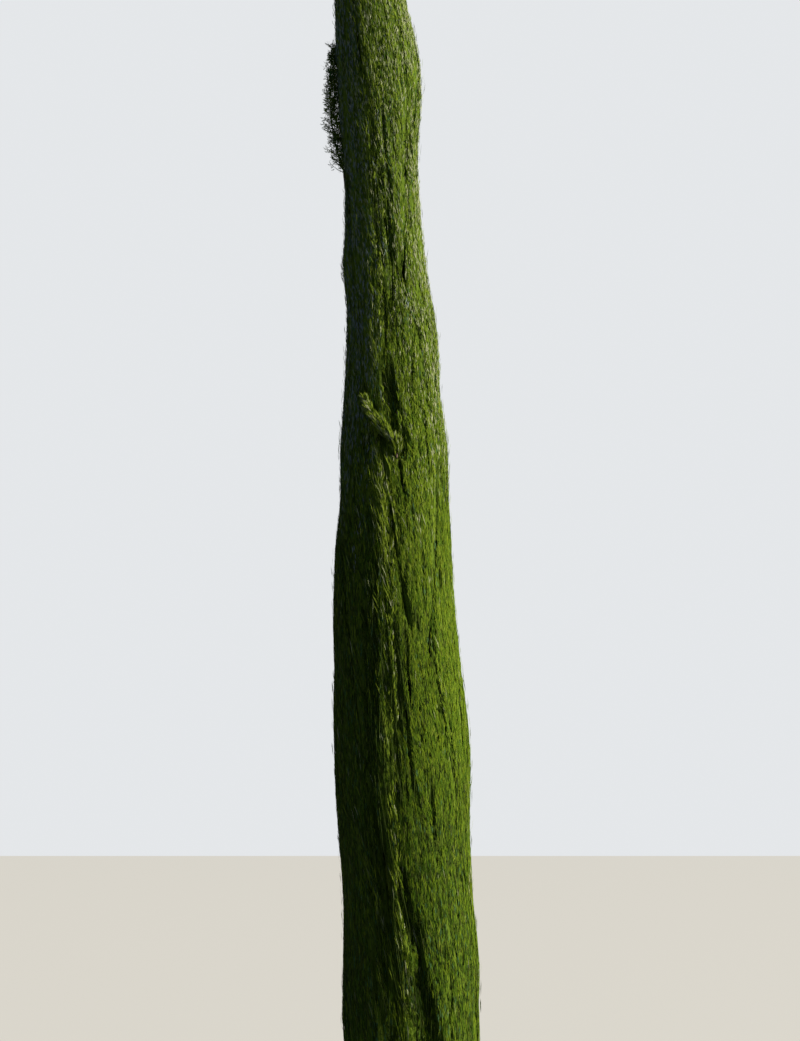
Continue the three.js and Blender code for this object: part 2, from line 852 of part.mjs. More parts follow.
function addNode(name, solid, material) {
  const { numProp, vertProperties, triVerts } = mainBody(solid).getMesh();
  const positions = new Float32Array((vertProperties.length / numProp) * 3);
  for (let i = 0; i < positions.length / 3; i++) {
    positions.set(vertProperties.subarray(i * numProp, i * numProp + 3), i * 3);
  }
  const geometry = new THREE.BufferGeometry();
  geometry.setAttribute("position", new THREE.BufferAttribute(positions, 3));
  geometry.setIndex(new THREE.BufferAttribute(triVerts, 1));
  geometry.computeVertexNormals();
  const mesh = new THREE.Mesh(geometry, material);
  mesh.name = name;
  tree.add(mesh);
}

const random = seededRandom(seed);
const trunkCutter = trunkSolid(airGap);
const skirt = skirtBowl();
const masses = [];
for (const place of plumePlaces) {
  const { solid, limb } = plumeSolids(place, random);
  const name = String(place.index + 1).padStart(2, "0");
  masses.push({ name: `plume_${name}`, boughName: `bough_${name}`, solid, limb });
}
for (const free of freeSpaces) {
  masses.push({
    name: free.name,
    boughName: `${free.name}_bough`,
    solid: freePlumeSolid(free, random),
    limb: free.boughLine,
    free,
  });
}
masses.push({ name: "leader", solid: leaderSolid(random) });

const limbCutters = masses.filter(({ limb }) => limb).map(({ limb }) => boughSolid(limb, airGap));
const roomCutters = freeSpaces.map(roomSolid);

addNode("trunk", trunkSolid(0), barkMaterial);
for (const { boughName, limb } of masses) {
  if (limb) {
    addNode(boughName, boughSolid(limb, 0).subtract(trunkCutter), barkMaterial);
  }
}
for (const { name, solid, free } of masses) {
  const cutters = [trunkCutter, ...limbCutters, ...(free || name === "leader" ? [] : roomCutters)];
  const clear = solid.subtract(wasm.Manifold.union(cutters)).intersect(skirt);
  addNode(name, clear, foliageMaterial);
}

export default tree;
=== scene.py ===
import math

import bpy
import numpy as np
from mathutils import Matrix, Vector


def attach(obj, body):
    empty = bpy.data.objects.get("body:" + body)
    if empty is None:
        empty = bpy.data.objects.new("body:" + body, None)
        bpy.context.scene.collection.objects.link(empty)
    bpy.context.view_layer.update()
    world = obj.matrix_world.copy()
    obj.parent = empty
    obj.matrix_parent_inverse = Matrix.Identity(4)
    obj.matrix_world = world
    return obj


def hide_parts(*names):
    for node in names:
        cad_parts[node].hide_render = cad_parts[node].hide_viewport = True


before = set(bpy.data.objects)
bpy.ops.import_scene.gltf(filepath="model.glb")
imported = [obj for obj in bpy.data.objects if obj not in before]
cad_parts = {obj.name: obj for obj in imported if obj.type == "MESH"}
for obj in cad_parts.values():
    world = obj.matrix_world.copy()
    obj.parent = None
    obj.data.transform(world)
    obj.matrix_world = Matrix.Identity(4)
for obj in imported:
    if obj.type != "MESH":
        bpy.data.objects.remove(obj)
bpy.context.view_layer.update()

# Italian cypress: bark on the trunk and boughs, and twigs with sprays of scale leaves
# grown from every bough's tip. Lengths are metres, and angles are radians unless a note says degrees.

fullTurn = 2 * math.pi
goldenTurn = math.pi * (3 - math.sqrt(5))
goldenShare = 0.618034
print("frame loaded:", len(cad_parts), "nodes")


# Camera: a 50 mm lens held 12.8 degrees up, at eye height

photo = {
    "width": 800,
    "height": 1041,
    "horizon": 850,
    "lens": 50,  # mm
    "film": 36,  # mm on the long side
    "eyeHeight": 1.6,
    "distance": 10.6,
    "footRight": 0.095,  # how far right of the camera the tree's foot stands
    "clipEnd": 1000,
}


def makeCamera():
    data = bpy.data.cameras.new("camera")
    data.lens = photo["lens"]
    data.sensor_width = photo["film"]
    data.clip_end = photo["clipEnd"]
    camera = bpy.data.objects.new("camera", data)
    bpy.context.scene.collection.objects.link(camera)
    focal = photo["height"] * photo["lens"] / photo["film"]  # in pixels
    pitch = math.atan((photo["horizon"] - photo["height"] / 2) / focal)
    camera.location = (-photo["footRight"], -photo["distance"], photo["eyeHeight"])
    camera.rotation_euler = (math.pi / 2 + pitch, 0, 0)
    bpy.context.scene.camera = camera


makeCamera()
print("camera set")


# Shape of the tree, by the same rule as the solids

tree = {
    "height": 10.0,
    "lean": -0.041,  # towards -X for each unit of height
    "bendFrom": 2.6,
    "bendTo": 8.3,
    "bendOffset": 0.038,
    "sway": 0.022,
    "seed": 20,
}
trunk = {
    "baseRadius": 0.104,
    "topRadius": 0.007,
    "topHeight": 9.42,
    "flare": 0.062,
    "flareHeight": 0.23,
    "rootLobes": 5,
    "rootRelief": 0.16,
    "taper": 0.92,  # below 1 it stays full for longer
}
crown = {
    "baseRadius": 0.49,
    "upperRadius": 0.305,
    "taperFrom": 2.6,
    "taperTo": 6.4,
    "spireFrom": 7.9,
    "spireFullness": 0.85,
    "bottom": 0.1,
    "skirtHeight": 0.2,
    "clearance": 0.02,  # how far above the bottom the inner growth starts
    "skirtShare": 0.72,
    "skirtFullness": 1.04,
    "fuzz": (0.004, 0.014),  # that tips may stand out of the outline, low in the crown and high in it
    "fuzzy": (1, 3),  # heights between which that grows
    "loosens": (3.5, 5.5),  # heights between which the growth turns looser and more uneven
    "coarsens": (3.5, 6),  # heights between which the sprays turn shorter and wider
}
# Broad swells of the outline: side in degrees, middle height, reach up and down, and how far out
swells = [
    (0, 7.68, 0.9, 0.088),
    (0, 5.7, 2.6, 0.028),
    (0, 5.45, 0.6, 0.032),
    (0, 4.6, 0.5, 0.024),
    (0, 3.4, 0.8, -0.014),
    (0, 2.3, 0.7, 0.034),
    (0, 0.85, 0.4, 0.02),
    (180, 6.8, 0.35, -0.022),
    (180, 6.03, 0.38, 0.036),
    (180, 4.2, 0.95, 0.018),
    (180, 4.15, 0.5, -0.03),
    (180, 2.9, 0.4, -0.014),
    (180, 1.2, 0.8, -0.03),
    (100, 3.1, 0.8, 0.026),
    (60, 6.5, 0.7, -0.024),
    (250, 2.0, 0.6, 0.02),
]
growth = {
    "lift": 1.1,  # height gained from the trunk's line out to crown baseRadius
    "twist": 0.14,  # radians for each metre of height
    "passes": 24,  # that find the height for a rise and a reach
    "damping": 0.7,  # share of each pass's step that is taken
}
plumes = {
    "count": 23,
    "firstTurn": 0.55,
    "firstRise": -0.42,
    "riseStep": 0.42,
    "slender": 6,  # how much more a length across counts than one up, in sharing out space
    "inset": 0.013,
    "innerReach": 0.47,
    "outerReach": 0.92,
    "leastWidth": 0.04,
    "topRise": 8.96,
    "overTop": 0.09,  # how far above that sprays may reach
    "rangeStep": 0.03,  # in which a mass's ends are looked for
    "rangeSteps": 133,
    "leastRadius": 0.01,
}
# What each kind of piece adds to the tree's seed
seeds = {
    "partings": 40,
    "leader": 90,
    "plumes": 100,
    "boughs": 300,
    "thatch": 500,
    "freePlumes": 700,
}


def mix(low, high, share):
    return low + (high - low) * share


def ease(value, low, high):
    share = np.clip((value - low) / (high - low), 0, 1)
    return share * share * (3 - 2 * share)


def wrapped(angle):
    return angle - fullTurn * np.round(angle / fullTurn)


def unit(vectors):
    return vectors / np.maximum(np.linalg.norm(vectors, axis=-1, keepdims=True), 1e-9)


def trunkLine(height):
    height = np.asarray(height, dtype=float)
    along = np.clip((height - tree["bendFrom"]) / (tree["bendTo"] - tree["bendFrom"]), 0, 1)
    x = tree["lean"] * height + tree["bendOffset"] * 0.5 * (1 - np.cos(fullTurn * along))
    y = tree["sway"] * np.sin(fullTurn * height / tree["height"])
    return np.stack([x, y, height], axis=-1)


def trunkRadius(height):
    share = np.clip(height / trunk["topHeight"], 0, 1)
    return mix(trunk["baseRadius"], trunk["topRadius"], share ** trunk["taper"])


def crownRadius(height, angle):
    taper = ease(height, crown["taperFrom"], crown["taperTo"])
    body = mix(crown["baseRadius"], crown["upperRadius"], taper)
    swell = 0
    for side, middle, reach, out in swells:
        near = ease(1 - np.abs(height - middle) / reach, 0, 1)
        facing = np.maximum(0, np.cos(angle - math.radians(side)))
        swell = swell + out * near * facing**2
    up = np.clip((height - crown["spireFrom"]) / (tree["height"] - crown["spireFrom"]), 0, 1)
    return (body + swell) * (1 - up * up) ** crown["spireFullness"]


def skirtRadius(height):
    share = np.clip((height - crown["bottom"]) / crown["skirtHeight"], 0, 1)
    full = np.sin(share * math.pi / 2)
    return crown["baseRadius"] * mix(crown["skirtShare"], crown["skirtFullness"], full)


def polarPoint(angle, radius, height):
    point = trunkLine(height)
    point[..., 0] += radius * np.cos(angle)
    point[..., 1] += radius * np.sin(angle)
    return point


# Growth space: turn round the trunk, rise of the place that foliage started from, and reach,
# which is 0 on the trunk's line and 1 on the crown's outline

def toGrowth(points):
    away = points - trunkLine(points[..., 2])
    radius = np.hypot(away[..., 0], away[..., 1])
    angle = np.arctan2(away[..., 1], away[..., 0])
    turn = angle + growth["twist"] * points[..., 2]
    rise = points[..., 2] - growth["lift"] * (radius / crown["baseRadius"]) ** 2
    return turn, rise, radius, angle


def fromGrowth(turn, rise, reach):
    height = rise + growth["lift"] * reach * reach
    for _ in range(growth["passes"]):
        angle = turn - growth["twist"] * height
        radius = reach * crownRadius(height, angle)
        wanted = rise + growth["lift"] * (radius / crown["baseRadius"]) ** 2
        height = mix(height, wanted, growth["damping"])
    return polarPoint(angle, radius, height)


plumeTurns = plumes["firstTurn"] + np.arange(plumes["count"]) * goldenTurn
plumeRises = plumes["firstRise"] + np.arange(plumes["count"]) * plumes["riseStep"]


# The span of turns, from a plume's own turn, that is nearer to it than to any other plume
def spanAt(index, rise):
    rise = np.asarray(rise, dtype=float)
    low = np.full(rise.shape, -math.pi)
    high = np.full(rise.shape, math.pi)
    own = (plumeRises[index] - rise) / plumes["slender"]
    for other in range(plumes["count"]):
        if other == index:
            continue
        theirs = (plumeRises[other] - rise) / plumes["slender"]
        nearest = wrapped(plumeTurns[other] - plumeTurns[index])
        for turn in (nearest, nearest - math.copysign(fullTurn, nearest)):
            across = turn * crown["baseRadius"]
            edge = (across * across + theirs**2 - own**2) / (2 * across) / crown["baseRadius"]
            if across > 0:
                high = np.minimum(high, edge)
            else:
                low = np.maximum(low, edge)
    return low, high


def insetSpan(index, rise, inset):
    low, high = spanAt(index, rise)
    middle = fromGrowth(plumeTurns[index] + (low + high) / 2, rise, plumes["outerReach"])
    radius = np.maximum(toGrowth(middle)[2], plumes["leastRadius"])
    off = inset / radius
    return low + off, high - off, (high - low - 2 * off) * radius


# Where a plume's mass starts and ends
def riseRange(index):
    step = plumes["rangeStep"]
    middle = plumeRises[index]
    count = np.arange(1, plumes["rangeSteps"] + 1)
    down = middle - step * count
    up = middle + step * count
    downRoom = insetSpan(index, down, plumes["inset"])[2] > plumes["leastWidth"]
    upRoom = insetSpan(index, up, plumes["inset"])[2] > plumes["leastWidth"]
    upRoom &= up < plumes["topRise"]
    stepsDown = len(down) if downRoom.all() else int(np.argmin(downRoom))
    stepsUp = len(up) if upRoom.all() else int(np.argmin(upRoom))
    return middle - step * stepsDown, middle + step * stepsUp


boughs = {
    "points": 6,
    "leaving": 0.4,  # of the trunk's radius, where a bough's line starts inside it
    "evenShare": 0.45,  # of its climb that is even, the rest steepens
}
freeRule = {
    "points": 7,
    "beyond": 0.1,  # how far past its tip a free plume keeps room
    "smoothSteps": 60,
    "twigsFrom": 0.02,  # along its limb
    "twigsTo": 0.97,
    "turnSpread": 0.6,
    "size": (0.6, 0.5),  # of a twig: the least, and what chance adds
    "tipSize": 0.4,  # of the last twigs, against the first
    "collarDepth": 0.11,  # along the bough, down from its end
    "collarOut": 0.024,
    "collarUp": 0.06,
}
# Two plumes stand free of the rest: from and to are angle in degrees, reach and height
freePlumes = {
    "leaning_plume": {
        "from": (-85, 0.93, 4.47),
        "to": (-116, 1.03, 4.83),
        "bulge": 0.04,  # reach gained half way
        "climb": 0.62,
        "room": 0.026,  # that other plumes' sprays leave it
        "twigs": 40,
        "spraysPerTwig": 26,
        "width": 1,  # of a spray, against its length
        "sag": 0.05,  # how far below its limb twigs may start
        "inward": 0,  # how far nearer to the trunk twigs may start
        "out": 0.034,  # how far its twigs spread
        "up": 0.14,
        "length": 0.07,
        "tilt": (2, 9),  # degrees off the twig
        # its sprays all take the lighter greens, as painted sunlight
        "tints": "paintedSunlit",
        "lit": True,
        "collar": 18,  # twigs that stand round the end of its bough
    },
    "feathery_plume": {
        "from": (178, 0.98, 6.83),
        "to": (181, 1.03, 7.98),
        "bulge": 0.17,
        "climb": 0.64,
        "room": 0.01,
        "twigs": 330,
        "spraysPerTwig": 15,
        "width": 1.7,
        "sag": 0,
        "inward": 0.06,
        "out": 0.08,
        "up": 0.08,
        "length": 0.036,
        "tilt": (15, 55),
        # darker greens, as painted shade
        "tints": "dark",
        "lit": False,
        "collar": 0,
    },
}


def freeLine(plume):
    share = np.linspace(0, 1, freeRule["points"])
    angle = np.radians(mix(plume["from"][0], plume["to"][0], share))
    height = mix(plume["from"][2], plume["to"][2], share)
    reach = mix(plume["from"][1], plume["to"][1], share) + plume["bulge"] * np.sin(share * math.pi)
    return polarPoint(angle, reach * crownRadius(height, angle), height)


def distanceToLine(points, line):
    least = np.full(points.shape[:-1], np.inf)
    for start, end in zip(line[:-1], line[1:]):
        along = end - start
        share = np.clip(((points - start) @ along) / (along @ along), 0, 1)
        nearest = start + share[..., None] * along
        least = np.minimum(least, np.linalg.norm(points - nearest, axis=-1))
    return least


def boughLine(foot, climb):
    line = trunkLine(foot[2])
    footRadius = math.hypot(foot[0] - line[0], foot[1] - line[1])
    angle = math.atan2(foot[1] - line[1], foot[0] - line[0])
    start = foot[2] - climb
    share = np.linspace(0, 1, boughs["points"])
    even = boughs["evenShare"]
    height = start + climb * (even * share + (1 - even) * share**2)
    out = mix(trunkRadius(start) * boughs["leaving"], footRadius, np.sin(share * math.pi / 2))
    return polarPoint(angle, out, height)


for plume in freePlumes.values():
    plume["line"] = freeLine(plume)
    onward = unit(plume["line"][-1] - plume["line"][-2]) * freeRule["beyond"]
    plume["roomLine"] = np.vstack([plume["line"][1:], plume["line"][-1] + onward])
    plume["bough"] = boughLine(plume["line"][0], plume["climb"])


def clearOfFreePlumes(points, margin):
    clear = np.ones(points.shape[:-1], dtype=bool)
    for plume in freePlumes.values():
        clear &= distanceToLine(points, plume["roomLine"]) > plume["room"] + margin
    return clear


def insideOwnSpace(points, index, margin):
    turn, rise, radius, _ = toGrowth(points)
    low, high = spanAt(index, rise)
    own = wrapped(turn - plumeTurns[index])
    off = margin / np.maximum(radius, plumes["leastRadius"])
    within = (own > low + off) & (own < high - off)
    within &= (rise < plumes["topRise"] + plumes["overTop"]) & (points[..., 2] > crown["bottom"])
    return within & clearOfFreePlumes(points, margin)


# Materials

# A linear colour from its sRGB code
def colour(code):
    values = [int(code[i : i + 2], 16) / 255 for i in (1, 3, 5)]
    linear = [v / 12.92 if v <= 0.04045 else ((v + 0.055) / 1.055) ** 2.4 for v in values]
    return (*linear, 1)


def newMaterial(name):
    material = bpy.data.materials.new(name)
    material.use_nodes = True
    return material, material.node_tree, material.node_tree.nodes["Principled BSDF"]


grain = {
    "detail": 5,
    "roughness": 0.62,
    "distortion": 0.5,
    "patchScale": 3.5,  # of the slow change between the light and the warm colour
    "patchDetail": 3,
    "furrowFrom": 0.36,  # noise below which a furrow is at its darkest
    "furrowTo": 0.56,
}


# Grain of bark or of old twigs: strips drawn out along Z, with dark furrows between them
def makeGrainGroup():
    group = bpy.data.node_groups.new("stringyGrain", "ShaderNodeTree")
    for name, side, kind in (
        ("Scale", "INPUT", "NodeSocketFloat"),
        ("Stretch", "INPUT", "NodeSocketFloat"),
        ("Furrow", "INPUT", "NodeSocketFloat"),
        ("Light", "INPUT", "NodeSocketColor"),
        ("Warm", "INPUT", "NodeSocketColor"),
        ("Dark", "INPUT", "NodeSocketColor"),
        ("Color", "OUTPUT", "NodeSocketColor"),
        ("Height", "OUTPUT", "NodeSocketFloat"),
    ):
        group.interface.new_socket(name, in_out=side, socket_type=kind)
    nodes, links = group.nodes, group.links
    given = nodes.new("NodeGroupInput")
    result = nodes.new("NodeGroupOutput")
    place = nodes.new("ShaderNodeTexCoord")
    stretch = nodes.new("ShaderNodeCombineXYZ")
    stretch.inputs["X"].default_value = 1
    stretch.inputs["Y"].default_value = 1
    links.new(given.outputs["Stretch"], stretch.inputs["Z"])
    drawn = nodes.new("ShaderNodeVectorMath")
    drawn.operation = "MULTIPLY"
    links.new(place.outputs["Object"], drawn.inputs[0])
    links.new(stretch.outputs["Vector"], drawn.inputs[1])
    strips = nodes.new("ShaderNodeTexNoise")
    strips.inputs["Detail"].default_value = grain["detail"]
    strips.inputs["Roughness"].default_value = grain["roughness"]
    strips.inputs["Distortion"].default_value = grain["distortion"]
    links.new(drawn.outputs["Vector"], strips.inputs["Vector"])
    links.new(given.outputs["Scale"], strips.inputs["Scale"])
    patches = nodes.new("ShaderNodeTexNoise")
    patches.inputs["Scale"].default_value = grain["patchScale"]
    patches.inputs["Detail"].default_value = grain["patchDetail"]
    links.new(place.outputs["Object"], patches.inputs["Vector"])
    furrows = nodes.new("ShaderNodeMapRange")
    furrows.interpolation_type = "SMOOTHSTEP"
    furrows.inputs["From Min"].default_value = grain["furrowFrom"]
    furrows.inputs["From Max"].default_value = grain["furrowTo"]
    links.new(strips.outputs["Fac"], furrows.inputs["Value"])
    depth = nodes.new("ShaderNodeMath")
    depth.operation = "SUBTRACT"
    depth.inputs[0].default_value = 1
    links.new(furrows.outputs["Result"], depth.inputs[1])
    amount = nodes.new("ShaderNodeMath")
    amount.operation = "MULTIPLY"
    links.new(depth.outputs["Value"], amount.inputs[0])
    links.new(given.outputs["Furrow"], amount.inputs[1])
    ridges = nodes.new("ShaderNodeMix")
    ridges.data_type = "RGBA"
    links.new(patches.outputs["Fac"], ridges.inputs["Factor"])
    links.new(given.outputs["Light"], ridges.inputs["A"])
    links.new(given.outputs["Warm"], ridges.inputs["B"])
    furrowed = nodes.new("ShaderNodeMix")
    furrowed.data_type = "RGBA"
    links.new(amount.outputs["Value"], furrowed.inputs["Factor"])
    links.new(ridges.outputs["Result"], furrowed.inputs["A"])
    links.new(given.outputs["Dark"], furrowed.inputs["B"])
    links.new(furrowed.outputs["Result"], result.inputs["Color"])
    links.new(strips.outputs["Fac"], result.inputs["Height"])
    return group


grainGroup = makeGrainGroup()

# What each dry surface hands to the grain, then its bump and its gloss
finishes = {
    "bark": {
        "scale": 46,
        "stretch": 0.09,
        "furrow": 0.85,
        "light": "#8d8174",
        "warm": "#6e5644",
        "dark": "#2b211a",
        "bump": 0.6,
        "depth": 0.006,
        "roughness": 0.9,
        "shine": 0.3,
    },
    "twigBark": {
        "scale": 90,
        "stretch": 0.3,
        "furrow": 0.5,
        "light": "#627a2a",
        "warm": "#5a6a2c",
        "dark": "#314018",
        "bump": 0.3,
        "depth": 0.001,
        "roughness": 0.8,
        "shine": 0.1,
    },
    "thatch": {
        "scale": 95,
        "stretch": 0.13,
        "furrow": 0.8,
        "light": "#718a26",
        "warm": "#6a802a",
        "dark": "#3d5418",
        "bump": 0.7,
        "depth": 0.015,
        "roughness": 0.95,
        "shine": 0.05,
    },
}


def grainMaterial(name):
    finish = finishes[name]
    material, graph, shader = newMaterial(name)
    strips = graph.nodes.new("ShaderNodeGroup")
    strips.node_tree = grainGroup
    for value in ("scale", "stretch", "furrow"):
        strips.inputs[value.capitalize()].default_value = finish[value]
    for value in ("light", "warm", "dark"):
        strips.inputs[value.capitalize()].default_value = colour(finish[value])
    bump = graph.nodes.new("ShaderNodeBump")
    bump.inputs["Strength"].default_value = finish["bump"]
    bump.inputs["Distance"].default_value = finish["depth"]
    graph.links.new(strips.outputs["Color"], shader.inputs["Base Color"])
    graph.links.new(strips.outputs["Height"], bump.inputs["Height"])
    graph.links.new(bump.outputs["Normal"], shader.inputs["Normal"])
    shader.inputs["Roughness"].default_value = finish["roughness"]
    shader.inputs["Specular IOR Level"].default_value = finish["shine"]
    material.diffuse_color = colour(finish["warm"])
    return material


# Greens are dealt out by spray, so each is one plain colour. The last, a cool pale green, is painted
# sky light for the shaded side high up, and pale and grey are the frosted tips there; along the side
# that faces the key light they also stand for a painted highlight.
greens = {
    "sunTip": "#8ca030",
    "fresh": "#788e1e",
    "leaf": "#66811c",
    "deep": "#486614",
    "blue": "#527848",
    "grey": "#929e64",
    "inner": "#566024",
    "pale": "#b9be8c",
    "dark": "#334614",
    "paintedSkyLight": "#8a9a90",
}
# Shares of the greens above: at three heights of the crown; on its shaded side low and high, as painted
# shade with painted sky light high up; in partings and listed places, as painted shade; along the edge
# facing the key light, as a painted highlight; on tufts and shoots in the sun, as painted sunlight; on
# the feathery plume, darker as painted shade; and deep on the twigs
tints = {
    "low": (0.02, 0.22, 0.5, 0.2, 0.0, 0.0, 0.05, 0.0, 0.01, 0.0),
    "middle": (0.1, 0.33, 0.42, 0.11, 0.0, 0.01, 0.03, 0.0, 0.0, 0.0),
    "high": (0.28, 0.09, 0.05, 0.1, 0.02, 0.15, 0.0, 0.22, 0.09, 0.0),
    "shadeLow": (0.0, 0.03, 0.1, 0.24, 0.06, 0.0, 0.2, 0.0, 0.37, 0.0),
    "shadeHigh": (0.0, 0.02, 0.03, 0.03, 0.22, 0.1, 0.0, 0.02, 0.0, 0.58),
    "paintedGapShade": (0.0, 0.03, 0.1, 0.2, 0.05, 0.0, 0.1, 0.0, 0.52, 0.0),
    "edge": (0.24, 0.08, 0.06, 0.06, 0.0, 0.14, 0.0, 0.38, 0.04, 0.0),
    "paintedSunlit": (0.5, 0.28, 0.06, 0.0, 0.0, 0.06, 0.0, 0.1, 0.0, 0.0),
    "dark": (0.03, 0.12, 0.25, 0.3, 0.12, 0.13, 0.05, 0.0, 0.0, 0.0),
    "deepRoot": (0.02, 0.1, 0.24, 0.3, 0.1, 0.05, 0.13, 0.0, 0.06, 0.0),
}
# Where on the crown each of those rows has its say. The shade rows paint shade on the side away from
# the key light, the row for partings paints shade in them, and the edge row paints a highlight on the
# side facing it.
tinting = {
    "heights": (1.5, 4, 7),  # of low, middle and high
    "edgeFacing": (0.5, 0.95),  # cosine of the angle from +X at which the edge starts and is full
    "edgeHeights": (3.8, 6.4),
    "shadeSide": 170,  # degrees, the middle of the shaded side
    "shadeTurn": (-0.6, 0.2),  # cosine of the angle from its opposite: full shade, and none left
    "shadeHeights": (3.5, 6),  # between shadeLow and shadeHigh
    "shadeShare": 0.85,
    "deepTo": 0.75,  # along the twig
    "deepShare": 0.7,
    "twigShare": 0.25,  # of the sprays of a twig that have one tint
    "gapDepth": 0.12,  # lost reach at which a parting is at its darkest
    "gapShare": 0.7,
}
leaf = {
    "roughness": 0.7,
    "shine": 0.04,
    "frostedShine": {"grey": 0.2, "pale": 0.25, "paintedSkyLight": 0.2},
}


def makeGreens():
    made = []
    for name, code in greens.items():
        material, _, shader = newMaterial(f"foliage_{name}")
        shader.inputs["Base Color"].default_value = colour(code)
        shader.inputs["Roughness"].default_value = leaf["roughness"]
        shine = leaf["frostedShine"].get(name, leaf["shine"])
        shader.inputs["Specular IOR Level"].default_value = shine
        material.diffuse_color = colour(code)
        made.append(material)
    return made


barkMaterial = grainMaterial("bark")
twigMaterial = grainMaterial("twigBark")
thatchMaterial = grainMaterial("thatch")
greenMaterials = makeGreens()
print("materials made")


# Meshes from arrays

def makePiece(name, points, faces, materials, nodes, smooth, materialIndex=None):
    mesh = bpy.data.meshes.new(name)
    faces = np.asarray(faces, dtype=np.int32)
    corners = faces.shape[1]
    mesh.vertices.add(len(points))
    mesh.vertices.foreach_set("co", np.asarray(points, dtype=np.float32).ravel())
    mesh.loops.add(faces.size)
    mesh.loops.foreach_set("vertex_index", faces.ravel())
    mesh.polygons.add(len(faces))
    mesh.polygons.foreach_set("loop_start", np.arange(0, faces.size, corners, dtype=np.int32))
    for material in materials:
        mesh.materials.append(material)
    if materialIndex is not None:
        mesh.polygons.foreach_set("material_index", np.asarray(materialIndex, dtype=np.int32))
    mesh.polygons.foreach_set("use_smooth", np.full(len(faces), smooth))
    mesh.update(calc_edges=True)
    piece = bpy.data.objects.new(name, mesh)
    bpy.context.scene.collection.objects.link(piece)
    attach(piece, "root")
    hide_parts(*nodes)


# Triangles over rings of points, one above the other, closed by a point at the foot and one on top
def ringFaces(rows, columns):
    this = np.arange(columns)
    after = (this + 1) % columns
    faces = []
    for row in range(rows - 1):
        a, b = row * columns + this, row * columns + after
        faces.append(np.stack([a, b, b + columns], axis=1))
        faces.append(np.stack([a, b + columns, a + columns], axis=1))
    foot = rows * columns
    top = (rows - 1) * columns
    faces.append(np.stack([np.full(columns, foot), after, this], axis=1))
    faces.append(np.stack([np.full(columns, foot + 1), top + this, top + after], axis=1))
    return np.vstack(faces)


tubeGuide = (0.31, 0.17, 0.0)  # a direction that no limb follows, to set out its rings from


# Closed tapering tubes along many lines of points at once, shaped (lines, points, 3)
def tubes(lines, radii, sides):
    count, steps, _ = lines.shape
    along = unit(np.gradient(lines, axis=1))
    across = unit(np.cross(np.array(tubeGuide) + 0 * along, along))
    other = np.cross(along, across)
    angle = fullTurn * np.arange(sides) / sides
    ring = (
        across[:, :, None, :] * np.cos(angle)[:, None]
        + other[:, :, None, :] * np.sin(angle)[:, None]
    )
    body = lines[:, :, None, :] + ring * radii[:, :, None, None]
    ends = lines[:, [0, -1], :]
    points = np.concatenate([body.reshape(count, steps * sides, 3), ends], axis=1)
    shift = (np.arange(count) * points.shape[1])[:, None, None]
    faces = ringFaces(steps, sides)[None] + shift
    return points.reshape(-1, 3), faces.reshape(-1, 3)


def joinMeshes(parts):
    points = np.vstack([part[0] for part in parts])
    shifts = np.cumsum([0] + [len(part[0]) for part in parts[:-1]])
    faces = np.vstack([part[1] + shift for part, shift in zip(parts, shifts)])
    return points, faces


# Noise from a lattice of chances that closes on itself after its columns
def latticeNoise(u, v, columns, seed):
    random = np.random.RandomState(seed)
    rows = int(np.ceil(np.max(v))) + 2
    lattice = random.rand(rows, columns)
    column = np.floor(u).astype(int)
    row = np.floor(v).astype(int)
    du = u - column
    dv = v - row
    du = du * du * (3 - 2 * du)
    dv = dv * dv * (3 - 2 * dv)
    left, right = column % columns, (column + 1) % columns
    below = mix(lattice[row, left], lattice[row, right], du)
    above = mix(lattice[row + 1, left], lattice[row + 1, right], du)
    return mix(below, above, dv)


# Bark of the trunk: strips drawn out along it, that wander from side to side
trunkBark = {
    "sides": 100,
    "rows": 150,
    "crowding": 1.9,  # of the rows towards the foot
    "strips": 17,  # ridges round the foot
    "stripLength": 0.34,
    "relief": 0.011,
    "fineStrips": 51,
    "fineLength": 0.09,
    "fineRelief": 0.0035,
    "bends": 5,  # round the trunk
    "bendLength": 0.5,
    "wander": 1.6,  # in strips
    "seed": 7,
}


def barkRelief(turns, height):
    seed, strips, fineStrips = trunkBark["seed"], trunkBark["strips"], trunkBark["fineStrips"]
    bends = trunkBark["bends"]
    wander = latticeNoise(turns * bends, height / trunkBark["bendLength"], bends, seed)
    wander = wander * trunkBark["wander"]
    coarse = latticeNoise(turns * strips + wander, height / trunkBark["stripLength"], strips, seed + 1)
    fine = latticeNoise(
        turns * fineStrips + wander, height / trunkBark["fineLength"], fineStrips, seed + 2
    )
    ridge = 1 - np.abs(2 * coarse - 1)
    return (ridge - 0.5) * trunkBark["relief"] + (fine - 0.5) * trunkBark["fineRelief"]


def makeTrunk():
    sides, rows = trunkBark["sides"], trunkBark["rows"]
    share = np.linspace(0, 1, rows)
    height = (trunk["topHeight"] * share ** trunkBark["crowding"])[:, None]
    turns = (np.arange(sides) / sides)[None, :]
    angle = turns * fullTurn
    flare = trunk["flare"] * np.exp(-height / trunk["flareHeight"])
    lobes = 1 + trunk["rootRelief"] * np.cos(trunk["rootLobes"] * angle)
    size = trunkRadius(height) / trunk["baseRadius"]
    relief = barkRelief(turns + 0 * height, height + 0 * turns) * size
    radius = trunkRadius(height) + flare * lobes + relief
    body = polarPoint(angle + 0 * height, radius, height + 0 * angle).reshape(-1, 3)
    ends = np.array([trunkLine(0.0), trunkLine(trunk["topHeight"])])
    points = np.vstack([body, ends])
    makePiece("trunk_bark", points, ringFaces(rows, sides), [barkMaterial], ["trunk"], True)


boughBark = {
    "root": (0.009, 0.23),  # radius there: a least one, and the share of the trunk's that is added
    "tip": (0.006, 0.09),
    "taper": 0.8,
    "sides": 14,
    "steps": 26,
    "relief": 0.12,
    "ridges": 7,  # round the bough
    "ridgeRows": 6,  # along it
}


